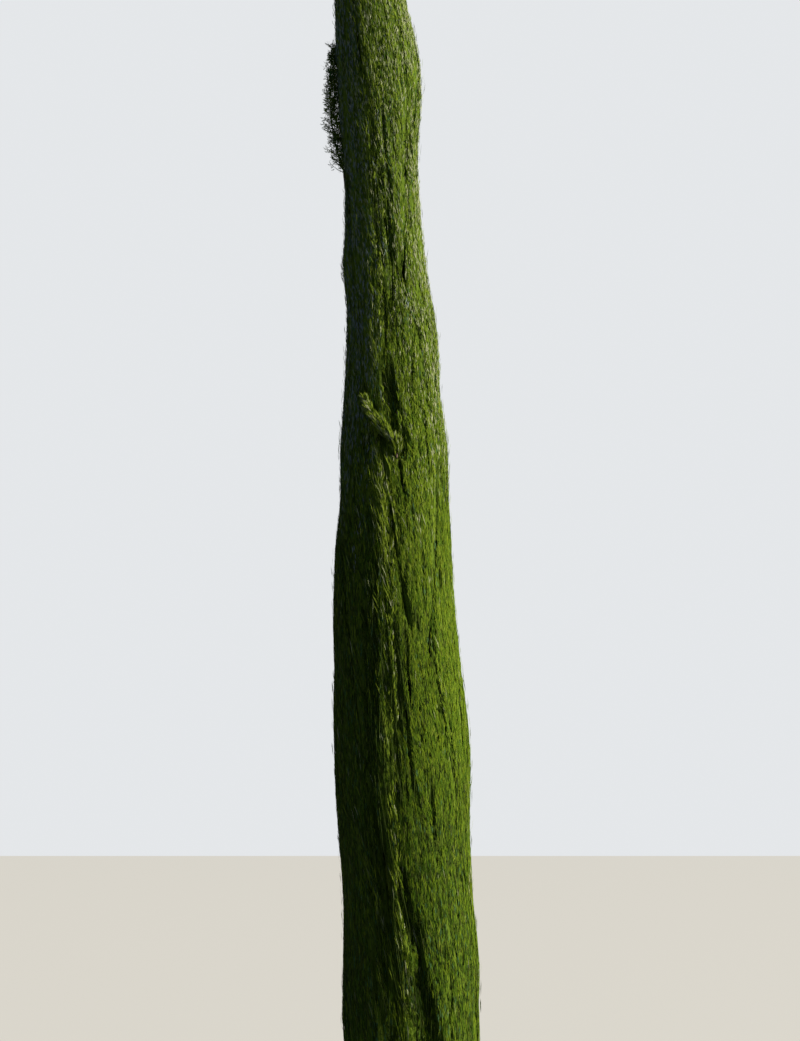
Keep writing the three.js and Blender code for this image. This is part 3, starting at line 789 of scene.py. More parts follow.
# A smooth curve through the points
def smoothLine(points, steps):
    points = np.asarray(points, dtype=float)
    before = 2 * points[0] - points[1]
    after = 2 * points[-1] - points[-2]
    held = np.vstack([before, points, after])
    place = np.linspace(0, len(points) - 1, steps)
    index = np.minimum(place.astype(int), len(points) - 2)
    t = (place - index)[:, None]
    p0, p1, p2, p3 = (held[index + k] for k in range(4))
    return 0.5 * (
        2 * p1
        + (p2 - p0) * t
        + (2 * p0 - 5 * p1 + 4 * p2 - p3) * t**2
        + (3 * p1 - p0 - 3 * p2 + p3) * t**3
    )


def makeBough(name, line, seed):
    steps, sides = boughBark["steps"], boughBark["sides"]
    start = line[0][2]
    rootRadius = boughBark["root"][0] + boughBark["root"][1] * trunkRadius(start)
    tipRadius = boughBark["tip"][0] + boughBark["tip"][1] * trunkRadius(start)
    share = np.linspace(0, 1, steps)
    radius = mix(rootRadius, tipRadius, share ** boughBark["taper"])
    curve = smoothLine(line, steps)[None]
    points, faces = tubes(curve, np.ones((1, steps)), sides)
    body = points[: steps * sides].reshape(steps, sides, 3)
    turns = np.broadcast_to(np.arange(sides) / sides, (steps, sides))
    height = np.broadcast_to((share * boughBark["ridgeRows"])[:, None], (steps, sides))
    ridge = latticeNoise(turns * boughBark["ridges"], height, boughBark["ridges"], seed) - 0.5
    wide = radius[:, None] * (1 + boughBark["relief"] * 2 * ridge)
    centre = curve[0][:, None, :]
    body = centre + (body - centre) * wide[:, :, None]
    points[: steps * sides] = body.reshape(-1, 3)
    makePiece(f"{name}_bark", points, faces, [barkMaterial], [name], True)


# One spray of scale leaves: a bundle of slim branchlets, each a blade folded along its middle

spray = {
    "variants": 12,
    "branchlets": 3,
    "length": 0.07,
    "lengthSpread": 0.35,
    "lengthShare": (0.74, 0.62),  # of its length, low in the crown and high in it
    "widthShare": (1.22, 1.3),  # against that length
    "axisLength": 0.72,  # of the spray's length
    "branchLength": 0.58,  # of the spray's length
    "lastBranch": 0.4,  # along the spray
    "opening": 10,  # degrees between a branchlet and the spray's axis
    "openingRange": (0.6, 0.8),  # against that: the least, and what chance adds
    "lengthRange": (0.8, 0.4),  # of a branchlet, in the same way
    "lastOpening": 0.2,  # of the topmost branchlet, against the others
    "turnSpread": 0.6,
    "widest": 0.45,  # along a branchlet
    "width": 0.068,  # of a branchlet, against the spray's length
    "fold": 0.01,
    "flatness": 0.4,  # how far branchlets open to the front and back
    "roll": 12,  # degrees that a branchlet's ridge may be turned from facing outwards
    "turning": (0.12, 0.3),  # how far a whole spray may be turned, low in the crown and high in it
    "looseTurning": 0.8,  # the same on free plumes and long shoots
    "facing": (0.8, -0.6, 0.0),  # where sprays of a tuft that stands out are turned
    "facingShare": 0.9,
}


def makeSprayShapes():
    random = np.random.RandomState(tree["seed"])
    last = spray["branchlets"] - 1
    shapes = []
    for _ in range(spray["variants"]):
        points = []
        for k in range(spray["branchlets"]):
            turn = k * goldenTurn + spray["turnSpread"] * random.rand()
            least, more = spray["openingRange"]
            opening = math.radians(spray["opening"] * (least + more * random.rand()))
            least, more = spray["lengthRange"]
            length = spray["branchLength"] * (least + more * random.rand())
            foot = spray["lastBranch"] * k / last
            if k == 0:
                opening, length = 0, spray["axisLength"]
            if k == last:
                opening, foot = opening * spray["lastOpening"], 1 - length
            outward = np.array([math.cos(turn), spray["flatness"] * math.sin(turn), 0])
            axis = outward * math.sin(opening) + np.array([0, 0, math.cos(opening)])
            roll = math.radians(spray["roll"] * (2 * random.rand() - 1))
            front = np.array([math.sin(roll), math.cos(roll), 0])
            side = unit(np.cross(front, axis)) * spray["width"] / 2
            root = np.array([0, 0, foot])
            middle = root + axis * length * spray["widest"] - front * spray["fold"]
            points += [root, middle + side, root + axis * length, middle - side]
        shapes.append(points)
    return np.array(shapes)


sprayShapes = makeSprayShapes()
bladeStart = 4 * np.arange(spray["branchlets"])[:, None, None]
sprayFaces = (bladeStart + np.array([[0, 1, 2], [0, 2, 3]])).reshape(-1, 3)


# A copy of a spray at every root, its ridge turned outwards from the trunk
def makeSprays(node, roots, directions, lengths, widths, turning, facing, tintIndex, random):
    count = len(roots)
    along = unit(directions)
    outward = unit(roots - trunkLine(roots[:, 2])) + turning[:, None] * random.normal(size=(count, 3))
    outward = outward + facing[:, None] * np.array(spray["facing"])
    across = unit(np.cross(outward, along))
    normal = np.cross(along, across)
    frames = np.stack([across, normal, along], axis=1)
    shapes = sprayShapes[random.randint(0, spray["variants"], count)]
    shapes = shapes * np.stack([widths, widths, lengths], axis=1)[:, None, :]
    points = roots[:, None, :] + np.einsum("nvk,nkd->nvd", shapes, frames)
    shift = (np.arange(count) * points.shape[1])[:, None, None]
    faces = (sprayFaces[None] + shift).reshape(-1, 3)
    tint = np.repeat(tintIndex, len(sprayFaces))
    name = f"{node}_sprays"
    makePiece(name, points.reshape(-1, 3), faces, greenMaterials, [node], False, tint)
    return len(faces)


# One of the greens for each row of shares
def drawTints(random, shares):
    shares = np.asarray(shares)
    edges = np.cumsum(shares, axis=-1) / shares.sum(axis=-1, keepdims=True)
    picks = random.rand(len(shares), 1)
    return np.minimum((picks > edges).sum(axis=1), len(greens) - 1)


# Twigs of a mass: from its stem out to the crown's face, then up along it

twigs = {
    "perArea": 300,  # for each square metre of the mass's face
    "steps": 12,
    "innerShare": 0.35,  # of the twig's steps, from the stem out to the face
    "startReach": 0.955,
    "endReach": 0.975,
    "groove": 0.03,  # how much less reach there is at the mass's edges
    "grooveSharpness": 9,
    "tipGroove": 0.8,  # of the groove at a twig's end
    "unevenness": (0.004, 0.045),  # low in the crown and high in it
    "lowest": 0.13,  # height that twigs keep above the ground
    "skirtInset": 0.03,
    "upright": 0.24,  # rise gained along the face
    "drift": 0.08,  # radians to one side
    "driftCurve": 1.5,
    "stemCurve": 0.8,
    "faceCurve": 0.85,
    "tableRows": 120,  # in which the mass's width is measured
    "beyond": 0.1,  # its ends
    "edgeInset": 0.004,
    "jitter": 0.12,
    "acrossShare": 0.96,  # of the mass's width
    "drawn": (0, 4, 11),  # the steps that its tube has
    "taper": (0, 0.35, 1),
    "rootRadius": 0.0038,
    "tipRadius": 0.001,
    "sides": 3,
}
sprayRule = {
    "perTwig": 23,
    "from": 0.38,  # along the twig
    "crowding": 0.7,  # towards the twig's tip
    "tilt": (2, 9),  # degrees off the twig
    "tipTilt": 0.3,  # of that for the last spray
    "offset": 0.017,  # sideways from the twig at most
    "proud": (-0.003, 0.004),  # how far out of the twig
    "evenness": (0.5, 1.9),  # of tilt and proud, low in the crown and high in it
    "inwardShare": 0.35,  # how much of the tilt goes inwards
    "outwardShare": 0.8,
    "strayShare": 0.015,
    "strayTilt": 20,  # degrees
    "overlap": 0.01,  # that a spray may reach into the next mass's space
}


# Points below the lowest height come up to it, at the same place round the trunk's line
def raised(points, lowest):
    height = np.maximum(points[..., 2], lowest)
    return points + trunkLine(height) - trunkLine(points[..., 2])


# Points at the crown's foot come in under its rounded rim
def tuckUnderSkirt(points, inset):
    line = trunkLine(points[..., 2])
    away = points - line
    radius = np.linalg.norm(away[..., :2], axis=-1)
    limit = skirtRadius(points[..., 2]) - inset
    scale = np.where(points[..., 2] < crown["bottom"] + crown["skirtHeight"], limit / radius, 1)
    return line + away * np.minimum(scale, 1)[..., None]


# Partings between plumes, where the foliage lies deeper. Each has its lower and upper end as angle
# in degrees and height, its half width, and how much less reach there is in it.
partings = [
    ((-78, 4.06), (-84, 4.5), 0.016, 0.14),
    ((-82, 4.5), (-92, 5.0), 0.07, 0.16),
    ((-96, 3.58), (-91, 4.0), 0.03, 0.06),
    ((-86, 1.04), (-92, 1.38), 0.04, 0.14),
    ((-76, 0.66), (-82, 1), 0.026, 0.16),
    ((-73, 0.15), (-80, 0.68), 0.085, 0.22),
    ((-104, 0.2), (-108, 1.3), 0.06, 0.15),
    ((-109, 1.2), (-114, 1.75), 0.04, 0.12),
    ((-99, 4.52), (-102, 4.63), 0.024, 0.12),
    ((-65, 4.79), (-59, 5.31), 0.012, 0.09),
    ((-87, 5.38), (-88, 5.62), 0.009, 0.09),
    ((-70, 3.98), (-71, 4.26), 0.008, 0.06),
    ((-60, 3.4), (-61, 3.62), 0.009, 0.06),
    ((-79, 3.25), (-80, 3.5), 0.01, 0.07),
    ((-80, 2.74), (-82, 3.34), 0.012, 0.07),
    ((-62, 1.6), (-65, 2.02), 0.014, 0.08),
]
# Places of painted shade, where more sprays take the dark greens: lower and upper end, half width, and
# share of dark sprays
paintedShadePlaces = [
    ((-60, 0.1), (-60, 1.5), 0.3, 0.65),
    ((-92, 0.1), (-96, 1.3), 0.1, 0.6),
    ((-88, 1.2), (-90, 2.4), 0.08, 0.2),
    ((-107, 2.2), (-106, 3.5), 0.05, 0.8),
    ((-115, 1.5), (-114, 3.6), 0.06, 0.9),
    ((-112, 0.1), (-116, 1.6), 0.09, 0.8),
    ((-93, 0.1), (-94, 1.2), 0.07, 0.4),
    ((-74, 0.1), (-80, 0.75), 0.09, 0.9),
    ((-83, 4.45), (-94, 5.05), 0.08, 0.6),
    ((-97, 3.3), (-94, 3.8), 0.06, 0.2),
    ((-100, 1.0), (-100, 3.4), 0.05, 0.3),
    ((-104, 5.2), (-110, 7.6), 0.05, 0.3),
]
# Tufts that stand out with their faces to the right: the same, with the share of sprays. Those sprays
# are turned to face right and take the lighter greens as painted sunlight.
litPlaces = [
    ((-94, 3.7), (-101, 4.5), 0.07, 0.7),
    ((-97, 5.3), (-104, 7.8), 0.035, 0.6),
    ((-93, 2.6), (-93, 3.5), 0.03, 0.4),
    ((-96, 1.5), (-99, 2.5), 0.03, 0.4),
    ((-90, 0.2), (-93, 1.3), 0.02, 0.2),
]
# Groups of narrow partings: lower and upper end, how far to each side they spread, how much less
# reach there is in them, and how many
partingGroups = [
    ((-82, 4.6), (-93, 5.14), 0.07, 0.13, 8),
    ((-93, 5.25), (-97, 5.75), 0.03, 0.1, 3),
    ((-97, 3.5), (-92, 4.05), 0.05, 0.06, 3),
    ((-84, 1.0), (-93, 1.42), 0.06, 0.12, 6),
    ((-75, 0.62), (-83, 1.02), 0.035, 0.13, 4),
    ((-72, 0.16), (-81, 0.7), 0.085, 0.16, 10),
    ((-97, 0.2), (-102, 1.15), 0.06, 0.13, 7),
    ((-110, 0.2), (-116, 1.6), 0.07, 0.13, 10),
    ((-95, 5.9), (-103, 7.4), 0.07, 0.09, 6),
    ((-86, 1.8), (-98, 3.4), 0.08, 0.07, 8),
    ((-115, 1.5), (-113, 3.6), 0.06, 0.1, 8),
    ((-78, 5.4), (-83, 7.2), 0.06, 0.1, 9),
]
strayPartings = {
    "count": 70,
    "angle": (-50, 230),  # degrees
    "height": (0.3, 8.6),
    "length": (0.3, 1.1),
    "lean": 5,  # degrees
    "leanRange": (-0.4, 1.6),  # against that: the least, and what chance adds
    "halfWidth": (0.006, 0.016),
    "depth": (0.03, 0.08),
}
partingRule = {
    "groupLength": (0.3, 0.6),  # of one parting, against its group's
    "groupDepth": (0.7, 1.2),
    "edge": (0.8, 1.2),  # where its edge starts and ends, in half widths
    "endShare": 0.2,  # of its length that each end is drawn out over
    "leastEnd": 0.03,
    "feather": (0.6, 1.2),  # of its width and of its depth, by a twig's chance
    "press": (0.6, 1),
    "standing": 0.1,  # share of twigs that stand out of a parting all the same
    "nearHeight": 0.3,
    "nearAngle": 0.6,
}


def addPartings():
    random = np.random.RandomState(tree["seed"] + seeds["partings"])
    for (fromAngle, low), (toAngle, high), spread, depth, count in partingGroups:
        for k in range(count):
            off = math.degrees(spread / crown["baseRadius"]) * (2 * (k + random.rand()) / count - 1)
            length = mix(*partingRule["groupLength"], random.rand())
            at = (1 - length) * random.rand()
            lower = (mix(fromAngle, toAngle, at) + off, mix(low, high, at))
            upper = (mix(fromAngle, toAngle, at + length) + off, mix(low, high, at + length))
            wide = mix(*strayPartings["halfWidth"], random.rand())
            deep = depth * mix(*partingRule["groupDepth"], random.rand())
            partings.append((lower, upper, wide, deep))
    least, more = strayPartings["leanRange"]
    for _ in range(strayPartings["count"]):
        angle = mix(*strayPartings["angle"], random.rand())
        low = mix(*strayPartings["height"], random.rand())
        length = mix(*strayPartings["length"], random.rand())
        toAngle = angle - strayPartings["lean"] * (least + more * random.rand())
        wide = mix(*strayPartings["halfWidth"], random.rand() ** 2)
        depth = mix(*strayPartings["depth"], random.rand())
        partings.append(((angle, low), (toAngle, low + length), wide, depth))


addPartings()


# From 1 on a line over the crown's face down to 0 beside it
def nearness(angle, height, foot, top, wide):
    (fromAngle, low), (toAngle, high) = foot, top
    up = np.clip((height - low) / (high - low), 0, 1)
    middle = np.radians(mix(fromAngle, toAngle, up))
    across = wrapped(angle - middle) * crown["baseRadius"]
    beyond = height - mix(low, high, up)
    end = max(partingRule["leastEnd"], partingRule["endShare"] * (high - low))
    return 1 - ease(np.hypot(across / wide, beyond / end), *partingRule["edge"])


# How much less reach partings leave each point. Chance feathers their edges.
def partingDepth(points, chance):
    shape = points.shape
    chance = np.broadcast_to(chance, shape[:-1]).ravel()
    points = points.reshape(-1, 3)
    line = trunkLine(points[:, 2])
    away = (points - line)[:, :2]
    angle = np.arctan2(away[:, 1], away[:, 0])
    less = np.zeros(len(points))
    for foot, top, wide, depth in partings:
        room = partingRule["nearHeight"]
        near = (points[:, 2] > foot[1] - room) & (points[:, 2] < top[1] + room)
        near &= chance > partingRule["standing"]
        middle = math.radians((foot[0] + top[0]) / 2)
        near = np.flatnonzero(near & (np.abs(wrapped(angle - middle)) < partingRule["nearAngle"]))
        feather = wide * mix(*partingRule["feather"], chance[near])
        pressed = depth * mix(*partingRule["press"], chance[near])
        pressed = pressed * nearness(angle[near], points[near, 2], foot, top, feather)
        less[near] = np.maximum(less[near], pressed)
    return less.reshape(shape[:-1])


# Points in a parting come in towards the trunk's line
def pressPartings(points, chance):
    line = trunkLine(points[..., 2])
    return line + (points - line) * (1 - partingDepth(points, chance))[..., None]


# The share that places lists have at each point: of sprays darkened as painted shade, of lit ones or of
# long shoots
def placesShare(points, places):
    angle = toGrowth(points)[3]
    share = np.zeros(len(points))
    for foot, top, wide, most in places:
        share = np.maximum(share, most * nearness(angle, points[:, 2], foot, top, wide))
    return share


# Share of sprays darkened as painted shade: more the deeper a parting lies, and in the listed places
def paintedShadeShare(points, chance):
    pressed = ease(partingDepth(points, chance), 0, tinting["gapDepth"]) * tinting["gapShare"]
    return np.maximum(pressed, placesShare(points, paintedShadePlaces))


# Each twig's line of points, from its place on the stem to the face and up along it
def twigLines(turn, rise, start, end, stemTurn, stemRise, stemReach, upright, drift):
    t = np.linspace(0, 1, twigs["steps"])[None, :]
    inner = np.clip(t / twigs["innerShare"], 0, 1)
    outer = np.clip((t - twigs["innerShare"]) / (1 - twigs["innerShare"]), 0, 1)
    column = [np.asarray(v)[:, None] for v in (turn, rise, start, end, stemTurn, stemRise, stemReach)]
    turn, rise, start, end, stemTurn, stemRise, stemReach = column
    lineTurn = mix(stemTurn, turn, ease(inner, 0, 1)) + drift[:, None] * outer ** twigs["driftCurve"]
    lineRise = mix(stemRise, rise, inner) + upright * outer
    toFace = mix(stemReach, start, inner ** twigs["stemCurve"])
    lineReach = np.where(outer > 0, mix(start, end, outer ** twigs["faceCurve"]), toFace)
    return fromGrowth(lineTurn, lineRise, lineReach)


# Sprays along the outer part of each twig, opening by the golden angle
def spraysOn(lines, random, length, rule):
    count, steps, _ = lines.shape
    perTwig = rule["perTwig"]
    share = (np.arange(perTwig)[None, :] + random.rand(count, perTwig)) / perTwig
    place = mix(rule["from"], 1.0, share ** rule["crowding"])
    place[:, -1] = 1.0
    at = np.clip(place * (steps - 1), 0, steps - 1.001)  # just short of the last point
    index = at.astype(int)
    share = (at - index)[..., None]
    row = np.arange(count)[:, None]
    root = mix(lines[row, index], lines[row, index + 1], share)
    along = unit(lines[row, index + 1] - lines[row, index])
    away = root - trunkLine(root[..., 2])
    away[..., 2] = 0
    out = unit(away - along * (away * along).sum(axis=-1, keepdims=True))
    side = np.cross(along, out)
    spin = np.arange(perTwig)[None, :] * goldenTurn + fullTurn * random.rand(count, 1)
    loose = mix(*rule["evenness"], ease(root[..., 2], *crown["loosens"]))
    tilt = np.radians(mix(*rule["tilt"], random.rand(count, perTwig))) * loose
    stray = random.rand(count, perTwig) < rule["strayShare"]
    tilt = np.where(stray, math.radians(rule["strayTilt"]), tilt)
    tilt[:, -1] *= rule["tipTilt"]
    outward = np.cos(spin)
    outward = outward * np.where(outward < 0, rule["inwardShare"], rule["outwardShare"])
    lean = outward[..., None] * out + np.sin(spin)[..., None] * side
    direction = unit(along + np.tan(tilt)[..., None] * lean)
    size = length * (1 + spray["lengthSpread"] * (2 * random.rand(count, perTwig) - 1))
    aside = rule["offset"] * (2 * random.rand(count, perTwig, 1) - 1)
    proud = (mix(*rule["proud"], random.rand(count, perTwig)) * loose)[..., None]
    root = root + side * aside + out * proud
    return root, direction, size, place


# Long light shoots stand out here and there, and thickly along a few lines over the crown's face.
# Standing proud they catch the key light, and they also take the lighter greens as painted sunlight.
shoots = {
    "share": (0.012, 0.04),  # low in the crown and high in it
    "length": 1.9,  # against a spray
    "width": 0.6,
    "proud": 0.014,
    "rising": (3, 7),  # heights between which that share grows
    "fuzz": 0.025,  # that their tips may stand out further than others
    "fuzzy": (1.1, 1.4),  # heights between which that grows
    "lean": -0.16,  # to one side
    "places": (  # as litPlaces
        ((-104, 5.12), (-116, 5.44), 0.035, 0.4),
        ((-86, 7.45), (-110, 8.2), 0.05, 0.25),
        ((-88, 6.85), (-96, 7.5), 0.05, 0.15),
        ((-100, 3.3), (-103, 4.3), 0.06, 0.12),
        ((-108, 0.75), (-119, 1.42), 0.06, 0.2),
        ((-95, 0.3), (-97, 1.0), 0.03, 0.2),
        ((-98, 1.2), (-98, 8.2), 0.06, 0.05),
        ((-24, 5.3), (-20, 5.55), 0.04, 0.5),
        ((-24, 1.84), (-22, 2), 0.04, 0.5),
        ((-20, 1.2), (-20, 1.36), 0.04, 0.4),
    ),
}


def longChance(points):
    chance = mix(*shoots["share"], ease(points[:, 2], *shoots["rising"]))
    return np.maximum(chance, placesShare(points, shoots["places"]))


# At the crown's foot some sprays hang down over its rim
droop = {"below": 0.27, "share": 0.5, "out": 0.15}


# Whether a spray keeps inside the crown's outline and inside its own mass's space
def sprayFits(name, index, root, tip, long):
    _, rise, radius, angle = toGrowth(tip)
    fits = (tip[:, 2] < tree["height"]) & (root[:, 2] > crown["bottom"])
    if name in freePlumes:
        return fits
    fuzz = mix(*crown["fuzz"], ease(tip[:, 2], *crown["fuzzy"]))
    fuzz += np.where(long, shoots["fuzz"], 0) * ease(tip[:, 2], *shoots["fuzzy"])
    fits &= radius < crownRadius(tip[:, 2], angle) + fuzz
    if name == "leader":
        return fits & (rise > plumes["topRise"] - leader["overlap"])
    margin = -sprayRule["overlap"]
    return fits & insideOwnSpace(tip, index, margin) & insideOwnSpace(root, index, margin)


# Shares of the greens for each spray, by its place on the crown and along its twig, with painted shade
# on the side away from the key light, in partings and in listed places, and a painted highlight on the
# side facing it
def tintShares(root, place, paintedShade, row):
    if row:
        shares = np.tile(tints[row], (len(root), 1))
    else:
        level = root[:, 2]
        angle = toGrowth(root)[3]
        heights = zip(*(tints[name] for name in ("low", "middle", "high")))
        shares = np.stack([np.interp(level, tinting["heights"], each) for each in heights], axis=1)
        # Paler greens on the side facing the key light, high up: a painted highlight
        edge = ease(np.cos(angle), *tinting["edgeFacing"]) * ease(level, *tinting["edgeHeights"])
        shares = mix(shares, np.array(tints["edge"]), edge[:, None])
        # Darker greens low down and a cool pale green high up on the side away from the key light:
        # painted shade and painted sky light
        lee = ease(-np.cos(angle - math.radians(tinting["shadeSide"])), *tinting["shadeTurn"])
        up = ease(level, *tinting["shadeHeights"])[:, None]
        shade = mix(np.array(tints["shadeLow"]), np.array(tints["shadeHigh"]), up)
        shares = mix(shares, shade, (1 - lee[:, None]) * tinting["shadeShare"])
        # Darker greens in partings and listed places, as painted shade
        shares = mix(shares, np.array(tints["paintedGapShade"]), paintedShade[:, None])
    deep = (1 - ease(place, sprayRule["from"], tinting["deepTo"])) * tinting["deepShare"]
    return mix(shares, np.array(tints["deepRoot"]), deep[:, None])


# Each spray gets a green of its own or its twig's, and one of the lighter greens, as painted sunlight,
# on lit tufts, long shoots and lit free plumes
def dealTints(random, shares, twigOf, twigCount, light):
    own = drawTints(random, shares)
    twigTint = drawTints(random, np.tile(shares.mean(axis=0), (twigCount, 1)))
    tintIndex = np.where(random.rand(len(shares)) < tinting["twigShare"], twigTint[twigOf], own)
    paintedSunTint = drawTints(random, np.tile(tints["paintedSunlit"], (len(shares), 1)))
    return np.where(light, paintedSunTint, tintIndex)


# The sprays of a mass. Stand is each twig's chance, which says how far a parting presses it.
def dressTwigs(name, lines, random, index=None, stand=None):
    free = freePlumes.get(name)
    rule, length, row = sprayRule, spray["length"], None
    if free:
        rule = sprayRule | {"perTwig": free["spraysPerTwig"], "tilt": free["tilt"], "offset": 0}
        length, row = free["length"], free["tints"]
    root, direction, size, place = spraysOn(lines, random, length, rule)
    twigOf = np.repeat(np.arange(len(lines)), rule["perTwig"])
    root, direction = root.reshape(-1, 3), direction.reshape(-1, 3)
    size, place = size.ravel(), place.ravel()
    if free:
        width = size * free["width"]
    else:
        up = ease(root[:, 2], *crown["coarsens"])
        size = size * mix(*spray["lengthShare"], up)
        width = size * mix(*spray["widthShare"], up)

    long = random.rand(len(root)) < (0 if free else longChance(root))
    out = unit((root - trunkLine(root[:, 2])) * (1, 1, 0))
    aside = np.cross(direction, out)
    droops = (root[:, 2] < droop["below"]) & (random.rand(len(root)) < droop["share"])
    direction[droops] = unit(out[droops] * droop["out"] - (0, 0, 1))
    root = root + out * np.where(long, shoots["proud"], 0)[:, None]
    direction = unit(direction + aside * np.where(long, shoots["lean"], 0)[:, None])
    size = np.where(long, size * shoots["length"], size)
    width = np.where(long, width * shoots["width"], width)

    tip = root + direction * size[:, None]
    chance = np.zeros(len(root)) if stand is None else stand[twigOf]
    # share of sprays that are darkened as painted shade
    paintedShade = paintedShadeShare(root, chance)
    lit = random.rand(len(root)) < placesShare(root, litPlaces)
    if free:
        lit[:] = free["lit"]
    root, tip = pressPartings(root, chance), pressPartings(tip, chance)
    direction = unit(tip - root)

    keep = sprayFits(name, index, root, tip, long)
    root, direction, size, width = root[keep], direction[keep], size[keep], width[keep]
    place, twigOf, long, paintedShade, lit = place[keep], twigOf[keep], long[keep], paintedShade[keep], lit[keep]
    shares = tintShares(root, place, paintedShade, row)
    tintIndex = dealTints(random, shares, twigOf, len(lines), long | lit)
    facing = np.where(lit, spray["facingShare"], 0)
    turning = mix(*spray["turning"], ease(root[:, 2], *crown["coarsens"]))
    turning = np.where(long | bool(free), spray["looseTurning"], turning)
    return makeSprays(name, root, direction, size, width, turning, facing, tintIndex, random)


# Stem of a mass, from its bough's tip up through it, with what its twigs leave it by
stems = {
    "footShare": 0.14,  # of the mass's height
    "leastFoot": 0.19,
    "footInset": 0.035,
    "climb": 0.47,  # of the bough below it at most
    "lowestStart": 0.15,  # of that bough
    "topShare": 0.84,
    "outerReach": 0.72,
    "curve": 0.8,
    "points": (0.25, 0.5, 0.75, 1),
    "onward": 0.04,  # how far it goes straight on from its bough
    "lowestTwig": 0.02,
    "steps": 24,
    "sides": 6,
    "footRadius": 0.0085,
    "tipRadius": 0.0035,
}


def stemLine(limb, rest):
    tip = limb[-1]
    along = unit(tip - limb[-2])
    return np.vstack([tip, tip + along * stems["onward"], rest])


def makeTwigs(node, stem, lines):
    steps = stems["steps"]
    curve = smoothLine(stem, steps)[None]
    stemRadius = np.linspace(stems["footRadius"], stems["tipRadius"], steps)[None]
    lines = lines[:, list(twigs["drawn"])]
    radius = mix(twigs["rootRadius"], twigs["tipRadius"], np.array(twigs["taper"]))
    radii = np.broadcast_to(radius, lines.shape[:2])
    parts = [tubes(curve, stemRadius, stems["sides"]), tubes(lines, radii, twigs["sides"])]
    points, faces = joinMeshes(parts)
    makePiece(f"{node}_twigs", points, faces, [twigMaterial], [node], True)
    return len(faces)


# The inner thatch of old twigs and shed scales that shows dark between the sprays

thatch = {
    "columns": 42,
    "rowLength": 0.1,
    "leastRows": 12,
    "ends": (0.004, 0.996),  # of its mass's height
    "rounding": (0.1, 0.14),  # of that height, over which it closes at the foot and on top
    "closing": 0.6,  # the depth in its section that it closes to
    "inset": -0.006,
    "skirtInset": 0.036,
    "innerReach": 0.47,
    "outerReach": (0.957, 0.95),  # low in the crown and high in it
    "ridges": 0.012,
    "ridgeLevel": 0.6,  # noise that neither raises nor lowers it
    "ridgeColumns": 26,
    "ridgeLength": 0.3,
    # Half its section, from the middle of its inner face round: side and depth, 1 at the mass's edge
    "section": ((0.5, 0), (1, 0.8), (0.92, 0.95), (0.46, 1), (0, 0.98)),
}


def makeThatchPiece(node, body):
    rows, columns, _ = body.shape
    points = np.vstack([body.reshape(-1, 3), body[:1].mean(axis=1), body[-1:].mean(axis=1)])
    faces = ringFaces(rows, columns)
    makePiece(f"{node}_thatch", points, faces, [thatchMaterial], [node], True)


def makeThatch(node, index, low, high, seed):
    columns = thatch["columns"]
    rows = max(thatch["leastRows"], int((high - low) / thatch["rowLength"]))
    half = np.array(thatch["section"])
    ring = np.vstack([half, half[-2::-1] * (-1, 1)])
    spot = np.linspace(0, len(ring), columns, endpoint=False)
    ring = np.vstack([ring, ring[:1]])
    side = np.interp(spot, np.arange(len(ring)), ring[:, 0])[None, :]
    depth = np.interp(spot, np.arange(len(ring)), ring[:, 1])[None, :]
    up = np.linspace(*thatch["ends"], rows)[:, None]
    rise = mix(low, high, up)
    spanLow, spanHigh, _ = insetSpan(index, rise[:, 0], thatch["inset"])
    middle = ((spanLow + spanHigh) / 2)[:, None]
    wide = ((spanHigh - spanLow) / 2)[:, None]
    foot, top = thatch["rounding"]
    full = np.sqrt(np.minimum(1, up / foot) * np.minimum(1, (1 - up) / top))
    turn = plumeTurns[index] + middle + side * full * wide
    outerReach = mix(*thatch["outerReach"], ease(rise, *crown["loosens"]))
    level = mix(thatch["innerReach"], outerReach, depth)
    ridgeColumns = thatch["ridgeColumns"]
    ridges = latticeNoise(
        np.broadcast_to(spot[None, :] * ridgeColumns / len(spot), (rows, columns)),
        np.broadcast_to((rise - low) / thatch["ridgeLength"], (rows, columns)),
        ridgeColumns,
        seed,
    )
    ridges = thatch["ridges"] * full * (ridges - thatch["ridgeLevel"]) * (depth > 0)
    closed = mix(thatch["innerReach"], outerReach, thatch["closing"])
    body = fromGrowth(turn, rise + 0 * turn, mix(closed, level, full) + ridges)
    body = tuckUnderSkirt(raised(body, crown["bottom"] + crown["clearance"]), thatch["skirtInset"])
    makeThatchPiece(node, pressPartings(body, 1))


# Places for twigs, spread evenly over a mass's face: up it by its width, and across by the golden share
def facePlaces(index, low, high, random):
    table = np.linspace(low - twigs["beyond"], high + twigs["beyond"], twigs["tableRows"])
    spanLow, spanHigh, wide = insetSpan(index, table, twigs["edgeInset"])
    onFace = fromGrowth(plumeTurns[index] + (spanLow + spanHigh) / 2, table, twigs["startReach"])
    clear = onFace[:, 2] > crown["bottom"] + crown["clearance"]
    wide = np.where(clear, np.maximum(wide, 0), 0)
    total = np.concatenate([[0], np.cumsum((wide[1:] + wide[:-1]) / 2 * np.diff(table))])
    count = int(total[-1] * twigs["perArea"])
    level = (np.arange(count) + random.rand(count)) / count * total[-1]
    rise = np.interp(level, total, table)
    across = (np.arange(count) * goldenShare + twigs["jitter"] * random.rand(count)) % 1
    return rise, (2 * across - 1) * twigs["acrossShare"]


